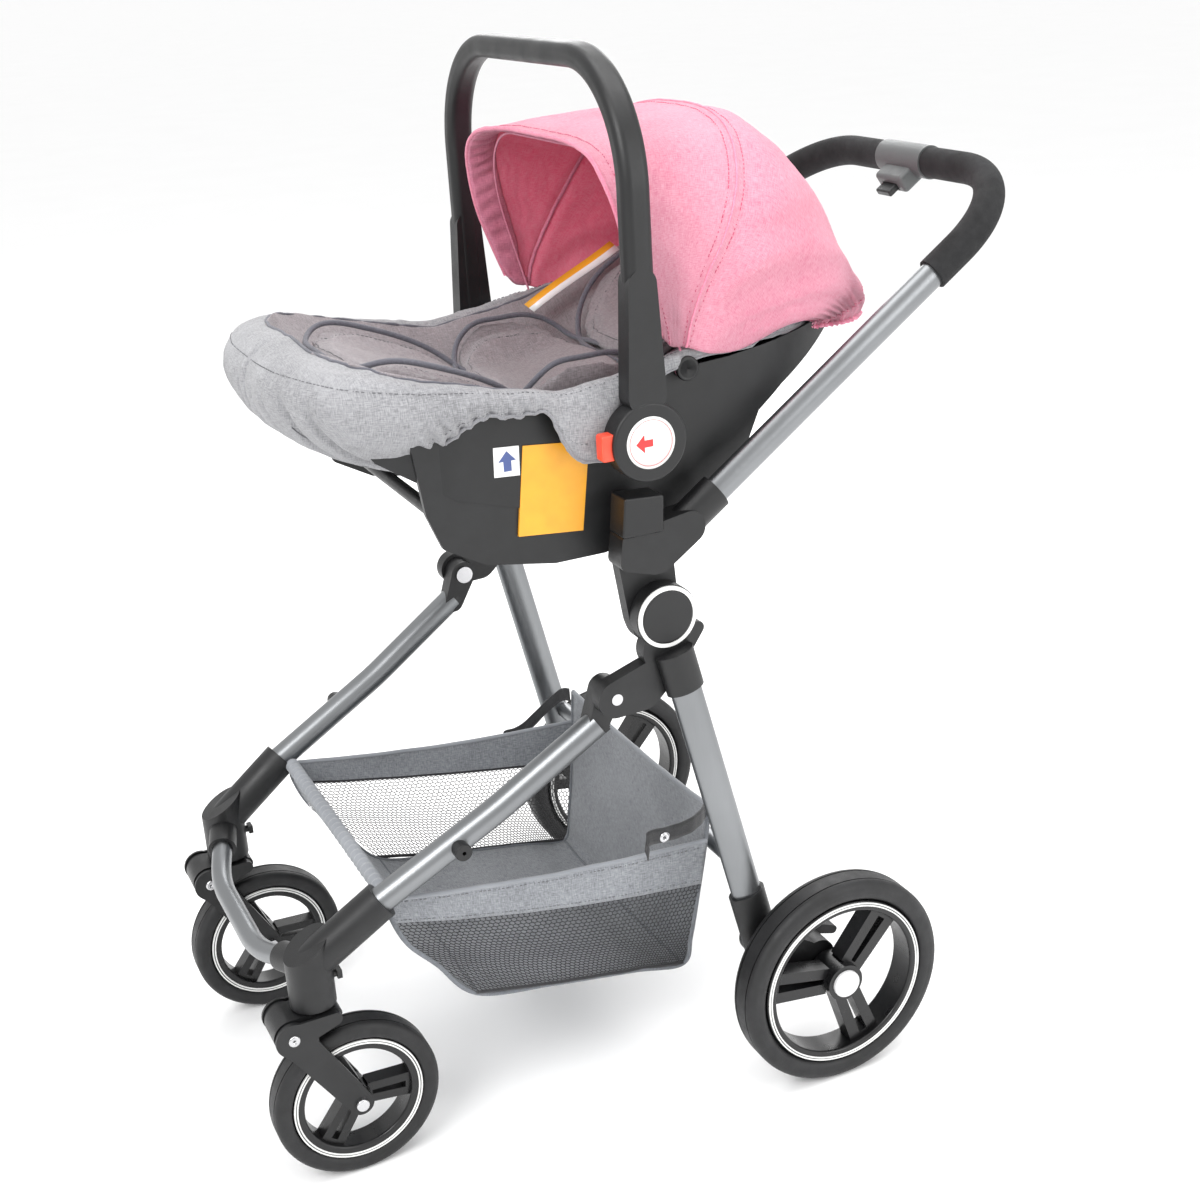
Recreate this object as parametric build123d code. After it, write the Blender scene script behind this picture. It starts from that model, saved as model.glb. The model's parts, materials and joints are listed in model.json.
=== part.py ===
from build123d import *
import math
import os

# Baby stroller with a lift-off infant carrier.
# Millimetres. +X is the rider's left, -Y is the front, +Z is up, the ground is z = 0.
# The object is symmetric about x = 0, so most parts are made on the left and mirrored.

# ---------------------------------------------------------------- driving dimensions
REAR_WHEEL_R = 120.0
REAR_TYRE_W = 40.0
REAR_RIM_R = 97.0
REAR_WHEEL_X = 285.0
REAR_AXLE_Y = 150.0

FRONT_WHEEL_R = 88.0
FRONT_TYRE_W = 34.0
FRONT_RIM_R = 69.0
FRONT_WHEEL_X = 172.0
FRONT_AXLE_Y = -365.0
SWIVEL_Y = -395.0
FORK_PIVOT = (-425.0, 188.5)

FOLD_PIVOT = (-8.0, 558.0)
LEG_PIVOT = (-67.0, 482.0)
FOLD_SPLIT_X = 212.5

PUSH_TUBE_X = 209.0
PUSH_TUBE_START = (20.0, 640.0)
PUSH_TUBE_SLOPE = 35.2
HANDLE_REACH = 507.85
HANDLE_CORNER_R = 105.0
PUSH_TUBE_SIZE = (22.0, 29.0)

REAR_LEG_TOP = (234.0, 0.0, 505.0)
REAR_LEG_END = (246.0, 76.0, 178.0)
REAR_LEG_SIZE = (21.0, 34.0)
REAR_BAR_YZ = (68.0, 252.0)
REAR_BAR_R = 9.5

FRONT_LEG_TOP = (204.0, -80.0, 450.0)
FRONT_LEG_BEND = (193.0, -190.0, 378.0)
FRONT_LEG_END = (182.0, -330.0, 300.0)
FRONT_LEG_R = 14.0
WALL = 1.6

CARRY_PIVOT = (-17.0, 738.0)
CARRY_X = 217.5
CARRY_TOP_Z = 1085.0
CARRY_CORNER_R = 112.0
CARRY_BAR_SIZE = (23.0, 29.0)
CANOPY_PIVOT = (46.0, 792.0)
SHELL_HALF_W = 178.0
PAD_HALF_W = 203.0

CLEAR = 0.5
PIN_PLAY = 0.06


# ---------------------------------------------------------------- small helpers
def plate(sketch, x0, x1):
    """Extrude a sketch drawn as (y, z) from x0 to x1."""
    return extrude(Plane.YZ.offset(x0) * sketch, x1 - x0)


def disc(centre, radius):
    return Pos(*centre) * Circle(radius)


def hull(*discs):
    """The outline wrapped round several (y, z, radius) discs."""
    edges = [edge for y, z, r in discs for edge in disc((y, z), r).edges()]
    return make_hull(edges)


def outline(points, radius=0.0):
    """A closed (y, z) polygon with its corners rounded."""
    shape = make_face(Polyline(*points, close=True))
    return fillet(shape.vertices(), radius) if radius else shape


def axis_x(centre, x0, x1, radius):
    """A cylinder along X."""
    return plate(disc(centre, radius), x0, x1)


def rod(start, end, radius, inner=0.0):
    """A round bar or tube between two points."""
    line = Line(start, end)
    section = Circle(radius) - Circle(inner) if inner else Circle(radius)
    return sweep(Plane(line @ 0, z_dir=line % 0) * section, line)


def oval_rod(start, end, size, wall=0.0, grow=0.0):
    """A straight oval bar, size = (across X, in the side view)."""
    line = Line(start, end)
    plane = Plane(line @ 0, x_dir=(1, 0, 0), z_dir=line % 0)
    section = Ellipse(size[0] / 2 + grow, size[1] / 2 + grow)
    if wall:
        section = section - Ellipse(size[0] / 2 - wall, size[1] / 2 - wall)
    return sweep(plane * section, line)


def along(start, end, t):
    """The point a fraction t of the way from start to end."""
    return tuple(a + (b - a) * t for a, b in zip(start, end))


def beyond(start, end, distance):
    """The point past end on the line from start."""
    length = math.dist(start, end)
    return along(start, end, 1 + distance / length)


def right_of(solid):
    """The mirrored copy for the right-hand side."""
    return mirror(solid, about=Plane.YZ)


def group(*solids):
    """Separate solids that share one node."""
    return Compound(children=list(solids))


NODES = {}


def add(name, solid):
    NODES[name] = solid


def add_pair(name, solid):
    add(name + "_left", solid)
    add(name + "_right", right_of(solid))


# ---------------------------------------------------------------- wheels
def wheel_ring(radius, inner, width, corner):
    """A tyre-shaped ring about the X axis with rounded shoulders."""
    section = Pos(0, (radius + inner) / 2) * RectangleRounded(width, radius - inner, corner)
    return revolve(section, Axis.X)


def make_tyre(radius, inner, width):
    tyre = wheel_ring(radius, inner, width, (radius - inner) * 0.42)
    for x in (-width * 0.24, width * 0.24):
        groove = Pos(x, radius) * Rectangle(1.6, 2.4)
        tyre -= revolve(groove, Axis.X)
    return tyre


def spoke_outline(start, end, near_w, far_w, slot):
    """One double spoke along +Z: two tapered arms with a slot between them."""
    arms = outline([(-near_w / 2, start), (near_w / 2, start), (far_w / 2, end), (-far_w / 2, end)])
    gap_start, gap_end = start + 5, end - 8
    wide = slot * 0.8
    gap = outline([(-slot / 2, gap_start), (slot / 2, gap_start), (wide, gap_end), (-wide, gap_end)])
    return arms - gap


def make_rim(rim_r, width, hub_r, hub_w, bore, spoke_w, first_angle):
    """A moulded rim with three double spokes and a raised ring seat on both faces."""
    section = Pos(0, rim_r - 6.0) * RectangleRounded(width - 5, 12.0, 3.0)
    rim = revolve(section, Axis.X)
    rim += axis_x((0, 0), -hub_w / 2, hub_w / 2, hub_r)
    for i in range(3):
        sketch = spoke_outline(hub_r - 3, rim_r - 9, spoke_w * 0.85, spoke_w, spoke_w * 0.17)
        arm = plate(sketch, -width * 0.26, width * 0.26)
        rim += Rotation(first_angle + 120 * i, 0, 0) * arm
    return rim - axis_x((0, 0), -hub_w, hub_w, bore)


REAR_BORE = 5.0
FRONT_BORE = 4.0
REAR_HUB_W = 38.0
FRONT_HUB_W = 30.0


def add_wheels():
    rear_place = Pos(REAR_WHEEL_X, REAR_AXLE_Y, REAR_WHEEL_R)
    front_place = Pos(FRONT_WHEEL_X, FRONT_AXLE_Y, FRONT_WHEEL_R)
    rear_tyre = make_tyre(REAR_WHEEL_R, REAR_RIM_R, REAR_TYRE_W)
    rear_rim = make_rim(REAR_RIM_R, REAR_TYRE_W, 21.0, REAR_HUB_W, REAR_BORE, 36.0, -40.0)
    front_tyre = make_tyre(FRONT_WHEEL_R, FRONT_RIM_R, FRONT_TYRE_W)
    front_rim = make_rim(FRONT_RIM_R, FRONT_TYRE_W, 14.0, FRONT_HUB_W, FRONT_BORE, 27.0, -95.0)
    cap = axis_x((0, 0), REAR_HUB_W / 2 + 0.1, REAR_HUB_W / 2 + 4, 15.5)
    cap = fillet(cap.edges().sort_by(Axis.X)[-1], 1.6)
    add_pair("rear_tyre", rear_place * rear_tyre)
    add_pair("rear_rim", rear_place * rear_rim)
    add_pair("rear_hub_cap", rear_place * cap)
    add_pair("front_tyre", front_place * front_tyre)
    add_pair("front_rim", front_place * front_rim)


# ---------------------------------------------------------------- casters
HEAD_HALF_W = 27.5
FORK_IN = 19.0
FORK_OUT = 24.0
CHEEK_IN = 24.5
STEM_R = 9.0
STEM_TOP = 256.0
HUB_R = 23.5
HUB_BOTTOM = 209.0
HUB_TOP = 268.0
FORK_PIN_R = 4.0


def make_front_hub():
    """The swivel housing with its leg socket and crossbar stub."""
    x, y = FRONT_WHEEL_X, SWIVEL_Y
    body = rod((x, y, HUB_BOTTOM), (x, y, HUB_TOP + 40), HUB_R)
    slant = Plane((x, y, HUB_TOP + 7), z_dir=(0.06, -0.5, 0.86))
    body -= slant * (Pos(0, 0, 60) * Box(160, 160, 120))
    leg_start = (x, y + 2, HUB_BOTTOM + 44)
    socket_end = along(FRONT_LEG_END, FRONT_LEG_BEND, 0.10)
    body += rod(leg_start, socket_end, 20.0)
    stub_start = (x, y, HUB_BOTTOM + 42)
    body += rod(stub_start, CROSSBAR_POINTS[1], 15.5)
    swivel_hole = rod((x, y, HUB_BOTTOM - 5), (x, y, STEM_TOP + 1), STEM_R + PIN_PLAY)
    leg_hole = rod(FRONT_LEG_END, beyond(FRONT_LEG_END, FRONT_LEG_BEND, 5), FRONT_LEG_R)
    bar_hole = rod(CROSSBAR_POINTS[0], CROSSBAR_POINTS[2], CROSSBAR_R + 0.3)
    lock_hole = rod((x, y + 11.5, LOCK_Z), (x, y + HUB_R + 8, LOCK_Z), LOCK_R + PIN_PLAY)
    return body - swivel_hole - leg_hole - bar_hole - lock_hole


CROSSBAR_R = 11.0
CROSSBAR_POINTS = [
    (FRONT_WHEEL_X - 20, SWIVEL_Y - 5, 249.0),
    (FRONT_WHEEL_X - 46, SWIVEL_Y - 14, 241.0),
    (FRONT_WHEEL_X - 60, SWIVEL_Y - 19, 236.6),
]
LOCK_Z = 234.0
LOCK_R = 4.0


def make_crossbar():
    """A tube bowed forward and down between the two swivel housings."""
    start = CROSSBAR_POINTS[0]
    corner = (FRONT_WHEEL_X - 92, SWIVEL_Y - 30, 226.8)
    right_corner = (-corner[0], corner[1], corner[2])
    right_start = (-start[0], start[1], start[2])
    path = FilletPolyline(start, corner, right_corner, right_start, radius=150)
    section = Circle(CROSSBAR_R) - Circle(CROSSBAR_R - WALL)
    return sweep(Plane(path @ 0, z_dir=path % 0) * section, path)


def make_swivel_head():
    """The caster head: a stem, a block and two round cheeks that hold the fork."""
    y, z = FORK_PIVOT
    block = hull((y, z, 18), (SWIVEL_Y, 199, 7.5), (SWIVEL_Y + 16, 199, 7.5))
    head = plate(block, -CHEEK_IN + 6.5, CHEEK_IN - 6.5)
    crown = hull((y + 3, z + 3, 14), (SWIVEL_Y + 14, 199, 7))
    fork_room = plate(hull((y, z, 21), (FRONT_AXLE_Y, 160, 40)), -CHEEK_IN, CHEEK_IN)
    head += plate(crown, -HEAD_HALF_W, HEAD_HALF_W) - fork_room
    cheek = hull((y, z, 18.5), (y + 6, z - 6, 18.5))
    head += plate(cheek, CHEEK_IN, HEAD_HALF_W) + plate(cheek, -HEAD_HALF_W, -CHEEK_IN)
    head += rod((0, SWIVEL_Y, 204), (0, SWIVEL_Y, STEM_TOP), STEM_R)
    wheel_room = axis_x((FRONT_AXLE_Y, FRONT_WHEEL_R), -50, 50, FRONT_WHEEL_R + 6)
    head -= wheel_room
    pin = axis_x(FORK_PIVOT, -HEAD_HALF_W - 1, HEAD_HALF_W + 1, FORK_PIN_R)
    return Pos(FRONT_WHEEL_X, 0, 0) * (head + pin)


def make_fork():
    """Two arms from the suspension pin down to the axle."""
    y, z = FORK_PIVOT
    arm = hull((y, z, 16.5), (FRONT_AXLE_Y, FRONT_WHEEL_R, 13))
    holes = disc((y, z), FORK_PIN_R + PIN_PLAY) + disc((FRONT_AXLE_Y, FRONT_WHEEL_R), FRONT_BORE)
    left = plate(arm - holes, FORK_IN, FORK_OUT)
    right = plate(arm - holes, -FORK_OUT, -FORK_IN)
    return Pos(FRONT_WHEEL_X, 0, 0) * left, Pos(FRONT_WHEEL_X, 0, 0) * right


def make_front_axle():
    """An axle bolt with a domed head outside and a nut inside."""
    centre = (FRONT_AXLE_Y, FRONT_WHEEL_R)
    bolt = axis_x(centre, -FORK_OUT - 5, FORK_OUT + 3, FRONT_BORE - PIN_PLAY)
    head = fillet(axis_x(centre, FORK_OUT + 0.05, FORK_OUT + 5, 7.0).edges().sort_by(Axis.X)[-1], 2.0)
    nut = extrude(Plane.YZ.offset(-FORK_OUT - 5.5) * (Pos(*centre) * RegularPolygon(7.5, 6)), 5.4)
    return Pos(FRONT_WHEEL_X, 0, 0) * (bolt + head + nut)


def make_swivel_lock():
    """The push nub behind the swivel housing that locks the caster straight."""
    x, y = FRONT_WHEEL_X, SWIVEL_Y
    shank = rod((x, y + 12, LOCK_Z), (x, y + HUB_R + 5, LOCK_Z), LOCK_R)
    nub = Pos(x, y + HUB_R + 5.5, LOCK_Z) * Box(12, 5, 9)
    return shank + nub


def add_casters():
    add_pair("front_hub", make_front_hub())
    add("front_crossbar", make_crossbar())
    add_pair("swivel_head", make_swivel_head())
    fork_outer, fork_inner = make_fork()
    add("fork_left", group(fork_outer, fork_inner))
    add("fork_right", group(right_of(fork_outer), right_of(fork_inner)))
    add_pair("front_axle", make_front_axle())
    add_pair("swivel_lock", make_swivel_lock())


# ---------------------------------------------------------------- front legs
KNUCKLE_X = (191.0, FOLD_SPLIT_X - CLEAR)
LEG_PIN_R = 6.0


def leg_path():
    return FilletPolyline(FRONT_LEG_END, FRONT_LEG_BEND, FRONT_LEG_TOP, radius=400)


def make_front_leg():
    path = leg_path()
    section = Circle(FRONT_LEG_R) - Circle(FRONT_LEG_R - WALL)
    return sweep(Plane(path @ 0, z_dir=path % 0) * section, path)


def make_knuckle():
    """The plug in the top of a front leg and the eye that turns on the leg pin."""
    neck = hull((LEG_PIVOT[0], LEG_PIVOT[1], 15), (FRONT_LEG_TOP[1] - 2, FRONT_LEG_TOP[2] - 2, 11))
    knuckle = plate(neck, *KNUCKLE_X)
    plug_end = along(FRONT_LEG_TOP, FRONT_LEG_BEND, 0.25)
    knuckle -= rod(FRONT_LEG_TOP, plug_end, FRONT_LEG_R + 0.2)
    plug = rod(along(FRONT_LEG_TOP, FRONT_LEG_BEND, -0.06), plug_end, FRONT_LEG_R - WALL - 0.1)
    collar = rod(FRONT_LEG_TOP, along(FRONT_LEG_TOP, FRONT_LEG_BEND, -0.05), FRONT_LEG_R)
    eye = axis_x(LEG_PIVOT, KNUCKLE_X[0] - 1, KNUCKLE_X[1] + 1, LEG_PIN_R + PIN_PLAY)
    room = plate(disc(LEG_PIVOT, 60), FOLD_SPLIT_X - CLEAR, FOLD_SPLIT_X + 40)
    return knuckle + plug + collar - eye - room


def make_leg_stud():
    """A round accessory stud on the outer face of a front leg, with a blind bore."""
    y, z = STUD_YZ
    stud = fillet(axis_x((y, z), STUD_X[0], STUD_X[1], STUD_R).edges().sort_by(Axis.X)[-1], 1.5)
    saddle = sweep(Plane(leg_path() @ 0, z_dir=leg_path() % 0) * Circle(FRONT_LEG_R + 0.05), leg_path())
    return stud - saddle - axis_x((y, z), STUD_X[1] - STUD_BORE_DEPTH, STUD_X[1] + 1, STUD_BORE_R)


STUD_YZ = (-236.0, 351.5)
STUD_X = (196.0, 215.0)
STUD_R = 9.0
STUD_BORE_R = 2.1
STUD_BORE_DEPTH = 7.0


def add_front_legs():
    add_pair("front_leg", make_front_leg())
    add_pair("leg_knuckle", make_knuckle())
    stud = make_leg_stud()
    add("leg_studs", group(stud, right_of(stud)))


# ---------------------------------------------------------------- rear frame
BRACKET_X = (FOLD_SPLIT_X, 229.0)
RING_R = 33.0
HUB_PIN_R = 9.0


def make_hub_bracket():
    """The lower half of the fold joint: hub disc, arm to the leg pin, rear leg socket."""
    (y, z), (ly, lz) = FOLD_PIVOT, LEG_PIVOT
    body = plate(disc((y, z), RING_R) + hull((y - 4, z - 34, 24), (y + 16, z - 64, 18)), *BRACKET_X)
    body += plate(hull((ly, lz, 20), (ly + 30, lz + 2, 21), (y + 2, z - 52, 16)), *BRACKET_X)
    body += plate(hull((y, z, 14), (y + 14, z - 30, 15)), *BRACKET_X)
    body += plate(hull((y + 34, z - 20, 7), (y + 20, z - 38, 8)), BRACKET_X[0] + 3, BRACKET_X[1])
    socket_end = along(REAR_LEG_TOP, REAR_LEG_END, 0.08)
    body += oval_rod(along(REAR_LEG_TOP, REAR_LEG_END, -0.05), socket_end, REAR_LEG_SIZE, grow=3.4)
    body -= plate(disc((y, z), 90), FOLD_SPLIT_X - 60, FOLD_SPLIT_X)
    body -= oval_rod(REAR_LEG_TOP, beyond(REAR_LEG_TOP, socket_end, 30), REAR_LEG_SIZE, grow=0.05)
    body -= axis_x((y, z), 200, 240, HUB_PIN_R + PIN_PLAY)
    return body - axis_x((ly, lz), 200, 240, LEG_PIN_R)


def make_hub_ring():
    """The bright ring on the outer face of the fold hub, with its black centre cap."""
    x0 = BRACKET_X[1] + 0.05
    return plate(disc(FOLD_PIVOT, RING_R - 1) - disc(FOLD_PIVOT, RING_R - 5), x0, x0 + 2.4)


def make_hub_cap():
    x0 = BRACKET_X[1] + 0.05
    cap = plate(disc(FOLD_PIVOT, RING_R - 5.1), x0, x0 + 3.2)
    return fillet(cap.edges().sort_by(Axis.X)[-1], 2.0)


def make_leg_pin():
    """A shouldered pin fixed in the bracket that carries the front leg's eye."""
    pin = axis_x(LEG_PIVOT, KNUCKLE_X[0] - 3.5, BRACKET_X[1] + 0.5, LEG_PIN_R - 0.01)
    return pin + axis_x(LEG_PIVOT, KNUCKLE_X[0] - 3.5, KNUCKLE_X[0] - 0.5, LEG_PIN_R + 4)


def make_rear_leg():
    return oval_rod(REAR_LEG_TOP, REAR_LEG_END, REAR_LEG_SIZE, wall=WALL)


def make_rear_foot():
    """The moulded foot on a rear leg: leg socket, axle arm and brake housing."""
    axle = (REAR_AXLE_Y, REAR_WHEEL_R)
    top = along(REAR_LEG_END, REAR_LEG_TOP, 0.16)
    foot = oval_rod(top, beyond(REAR_LEG_TOP, REAR_LEG_END, 16), REAR_LEG_SIZE, grow=3.6)
    arm = hull((REAR_LEG_END[1] + 4, REAR_LEG_END[2] - 12, 20), (axle[0], axle[1], 19))
    foot += plate(arm, FOOT_X[0], FOOT_X[1])
    brake_housing = hull((axle[0] - 8, axle[1] + 14, 19), (axle[0] - 14, axle[1] + 8, 19))
    foot += plate(brake_housing, FOOT_X[0], FOOT_X[1])
    foot -= oval_rod(beyond(REAR_LEG_TOP, top, -40), REAR_LEG_END, REAR_LEG_SIZE, grow=0.05)
    foot -= plate(disc(axle, 200), FOOT_X[1], FOOT_X[1] + 30)
    spindle = axis_x(axle, FOOT_X[1] - 12, REAR_WHEEL_X + REAR_HUB_W / 2 - 1, REAR_BORE - PIN_PLAY)
    brake_room = axis_x(BRAKE_PIVOT, FOOT_X[0] - 1, BRAKE_X + 0.5, BRAKE_PIN_R + PIN_PLAY)
    return foot - brake_room + spindle


FOOT_X = (232.0, 263.0)
BRAKE_PIVOT = (REAR_AXLE_Y - 20, REAR_WHEEL_R + 16)
BRAKE_PIN_R = 4.0
BRAKE_X = 244.0


def make_brake_pedal():
    """A foot pedal on the inner side of a rear foot, turning on its own pin."""
    y, z = BRAKE_PIVOT
    arm = hull((y, z, 9), (y + 30, z + 10, 7))
    pad = hull((y + 28, z + 10, 6), (y + 50, z + 2, 5))
    pedal = plate(arm, FOOT_X[0] - 8, FOOT_X[0] - CLEAR) + plate(pad, FOOT_X[0] - 34, FOOT_X[0] - CLEAR)
    return pedal + axis_x((y, z), FOOT_X[0] - 1, BRAKE_X, BRAKE_PIN_R)


def make_rear_bar():
    """The cross tube between the rear legs."""
    half = REAR_LEG_TOP[0]
    bar = axis_x(REAR_BAR_YZ, -half, half, REAR_BAR_R)
    bar -= axis_x(REAR_BAR_YZ, -half, half, REAR_BAR_R - WALL)
    leg = oval_rod(REAR_LEG_TOP, REAR_LEG_END, REAR_LEG_SIZE, grow=0.05)
    bar = bar - leg - right_of(leg)
    return bar.solids().sort_by(SortBy.VOLUME)[-1]


BASKET_FRONT_Y = -310.0
BASKET_REAR_Y = 52.0
BASKET_HALF_W = 168.0


def basket_block(inset):
    """The basket's outer form, or its inside when inset is the cloth thickness."""
    top = [(BASKET_FRONT_Y + 6 + inset, 291.0), (BASKET_REAR_Y - inset, 272.0)]
    floor = [(-226 + inset, 146 + inset), (8 - inset, 106 + inset)]
    side = outline([top[0], (-290 + inset, 240), *floor, top[1]])
    block = plate(side, -BASKET_HALF_W + inset, BASKET_HALF_W - inset)
    taper = Plane.XZ.offset(400) * make_face(Polyline(
        (-BASKET_HALF_W + inset, 310), (BASKET_HALF_W - inset, 310),
        (BASKET_HALF_W - 12 - inset, 90), (-BASKET_HALF_W + 12 + inset, 90), close=True))
    return block & extrude(taper, -900)


def make_basket():
    """A cloth tray: floor, four walls and an open top."""
    cloth = 5.0
    inside = basket_block(cloth)
    lift = Pos(0, 0, 8) * inside
    return basket_block(0.0) - inside - lift


def make_basket_strap():
    """The webbing tab from the basket's rear corner round the rear leg, with a snap."""
    strap = plate(hull((-20, 291, 9), (40, 296, 9)), 170.0, 172.4)
    snap = axis_x((-12, 291.5), 172.4, 175.0, 6.0)
    tail = plate(hull((38, 296, 8), (60, 297, 8)), 172.4, 221.0) & plate(outline(
        [(30, 280), (64, 280), (64, 312), (30, 312)]), 172.4, 221.0)
    sheet = Plane.XY.offset(296 - 8) * make_face(Polyline(
        (170, 38), (172.4, 38), (222, 52), (222, 54.6), (170, 40.8), close=True))
    return strap + snap + (extrude(sheet, 16) & tail)


def add_rear_frame():
    add_pair("hub_bracket", make_hub_bracket())
    ring = make_hub_ring()
    add("hub_rings", group(ring, right_of(ring)))
    cap = make_hub_cap()
    add("hub_caps", group(cap, right_of(cap)))
    pin = make_leg_pin()
    add("leg_pins", group(pin, right_of(pin)))
    add_pair("rear_leg", make_rear_leg())
    add_pair("rear_foot", make_rear_foot())
    add_pair("brake_pedal", make_brake_pedal())
    add("rear_crossbar", make_rear_bar())
    add("basket", make_basket())
    strap = make_basket_strap()
    add("basket_straps", group(strap, right_of(strap)))


# ---------------------------------------------------------------- push handle and upper joint
def slope_point(distance, x=PUSH_TUBE_X, lift=0.0):
    """A point on the push tube's plane, distance along it and lift above it."""
    a = math.radians(PUSH_TUBE_SLOPE)
    y = PUSH_TUBE_START[0] + distance * math.cos(a) - lift * math.sin(a)
    z = PUSH_TUBE_START[1] + distance * math.sin(a) + lift * math.cos(a)
    return (x, y, z)


def handle_plane(distance=0.0):
    """The sloping plane of the push handle: local x is across, local y runs up the tube."""
    a = math.radians(PUSH_TUBE_SLOPE)
    return Plane(slope_point(distance, 0.0), x_dir=(1, 0, 0), z_dir=(0, -math.sin(a), math.cos(a)))


def make_push_tube():
    w, top = PUSH_TUBE_X, HANDLE_REACH
    path = FilletPolyline((w, 0), (w, top), (-w, top), (-w, 0), radius=HANDLE_CORNER_R)
    path = handle_plane() * path
    size = (PUSH_TUBE_SIZE[0] / 2, PUSH_TUBE_SIZE[1] / 2)
    section = Ellipse(*size) - Ellipse(size[0] - WALL, size[1] - WALL)
    return sweep(Plane(path @ 0, x_dir=(1, 0, 0), z_dir=path % 0) * section, path)


GRIP_START = 365.0
GRIP_END_X = 42.0
GRIP_R = 17.5
HOUSING_X = 41.0


def make_grip():
    """A foam sleeve round the corner of the push handle."""
    w, top = PUSH_TUBE_X, HANDLE_REACH
    corners = [(w, GRIP_START), (w, top), (GRIP_END_X, top)]
    path = handle_plane() * FilletPolyline(*corners, radius=HANDLE_CORNER_R)
    size = (PUSH_TUBE_SIZE[0] / 2 + 0.05, PUSH_TUBE_SIZE[1] / 2 + 0.05)
    section = Ellipse(GRIP_R - 1.5, GRIP_R) - Ellipse(*size)
    return sweep(Plane(path @ 0, x_dir=(1, 0, 0), z_dir=path % 0) * section, path)


def make_handle_housing():
    """The grey clamshell in the middle of the handle, with a slot for the fold trigger."""
    frame = handle_plane(HANDLE_REACH)
    size = (PUSH_TUBE_SIZE[1] / 2, PUSH_TUBE_SIZE[0] / 2)
    start = Plane(frame.origin + Vector(-HOUSING_X, 0, 0), x_dir=frame.z_dir, z_dir=(1, 0, 0))
    sleeve = extrude(start * Ellipse(GRIP_R + 1.5, GRIP_R), 2 * HOUSING_X)
    pod = frame * (Pos(0, -18, -6) * Box(50, 34, 22))
    pod = fillet(pod.edges(), 5)
    tube = extrude(start * Ellipse(size[0] + 0.05, size[1] + 0.05), 2 * HOUSING_X)
    slot = frame * (Pos(0, -31, -8) * Box(TRIGGER_W + 1.4, 41, TRIGGER_T + 1.4))
    return sleeve + pod - tube - slot


TRIGGER_W = 26.0
TRIGGER_T = 8.0
TRIGGER_OUT = 30.0


def make_trigger():
    """The fold trigger: a tongue that is squeezed up into the housing."""
    frame = handle_plane(HANDLE_REACH)
    tongue = frame * (Pos(0, -33, -8) * Box(TRIGGER_W, TRIGGER_OUT, TRIGGER_T))
    return fillet(tongue.edges(), 2.2)


UPPER_X = (196.0, FOLD_SPLIT_X - CLEAR)
SLEEVE_LENGTH = 52.0


def make_upper_joint():
    """The upper half of the fold joint: hub plate, push tube sleeve and adaptor seat."""
    (y, z), (sy, sz) = FOLD_PIVOT, PUSH_TUBE_START
    hub = hull((y - 6, z, 27), (y - 4, z - 6, 27), (y - 26, z + 62, 16), (y + 2, z + 62, 16))
    body = plate(hub, *UPPER_X)
    block = hull((y - 36, z + 62, 9), (y - 34, z + 84, 8), (y - 4, z + 62, 18), (sy + 4, sz + 3, 17))
    body += plate(block, UPPER_X[0], 225.0)
    start, end = slope_point(-22), slope_point(SLEEVE_LENGTH)
    line = Line(start, end)
    size = (PUSH_TUBE_SIZE[0] / 2, PUSH_TUBE_SIZE[1] / 2)
    plane = Plane(start, x_dir=(1, 0, 0), z_dir=line % 0)
    body += sweep(plane * Ellipse(size[0] + 4.5, size[1] + 4.5), line)
    body -= plate(disc(FOLD_PIVOT, RING_R + 12), FOLD_SPLIT_X - CLEAR, 260)
    tube_line = Line(slope_point(0), slope_point(120))
    tube_plane = Plane(tube_line @ 0, x_dir=(1, 0, 0), z_dir=tube_line % 0)
    body -= sweep(tube_plane * Ellipse(size[0] + 0.05, size[1] + 0.05), tube_line)
    body -= plate(offset(ADAPTOR_BLOCK, 0.4), UPPER_X[0] - 5, ADAPTOR_X[1] + 5)
    body -= plate(ADAPTOR_POST, ADAPTOR_X[0] + 1.95, ADAPTOR_X[1] - 1.95)
    return body - axis_x(FOLD_PIVOT, 180, 230, HUB_PIN_R)


ADAPTOR_X = (197.0, 227.0)
ADAPTOR_BLOCK = outline([(-50, 646), (-6, 646), (-4, 683), (-46, 686)], 3.0)
ADAPTOR_POST = outline([(-38, 612), (-14, 612), (-14, 646), (-38, 646)], 2.0)


def make_adaptor():
    """The carrier adaptor: a post in the upper joint and a wider cradle block."""
    body = fillet(plate(ADAPTOR_BLOCK, *ADAPTOR_X).edges().group_by(Axis.X)[-1], 2.0)
    body += plate(ADAPTOR_POST, ADAPTOR_X[0] + 2, ADAPTOR_X[1] - 2)
    return body


def make_hub_pin():
    """The steel pivot of the fold joint, fixed in the upper half."""
    return axis_x(FOLD_PIVOT, UPPER_X[0] - 3, BRACKET_X[1] - 0.2, HUB_PIN_R - 0.01)


def add_upper_frame():
    add("push_tube", make_push_tube())
    grip = make_grip()
    add("foam_grips", group(grip, right_of(grip)))
    add("handle_housing", make_handle_housing())
    add("release_trigger", make_trigger())
    add_pair("upper_joint", make_upper_joint())
    add_pair("seat_adaptor", make_adaptor())
    pin = make_hub_pin()
    add("hub_pins", group(pin, right_of(pin)))


# ---------------------------------------------------------------- infant carrier
def plan_prism(front, rear, half_w, front_r, rear_r):
    """A tall prism with the carrier's plan outline."""
    outline_xy = Polyline((-half_w, front), (half_w, front), (half_w, rear), (-half_w, rear), close=True)
    face = make_face(outline_xy)
    corners = face.vertices().sort_by(Axis.Y)
    face = fillet(corners[:2], front_r)
    face = fillet(face.vertices().sort_by(Axis.Y)[-2:], rear_r)
    return extrude(Plane.XY.offset(550) * face, 500)


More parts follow.
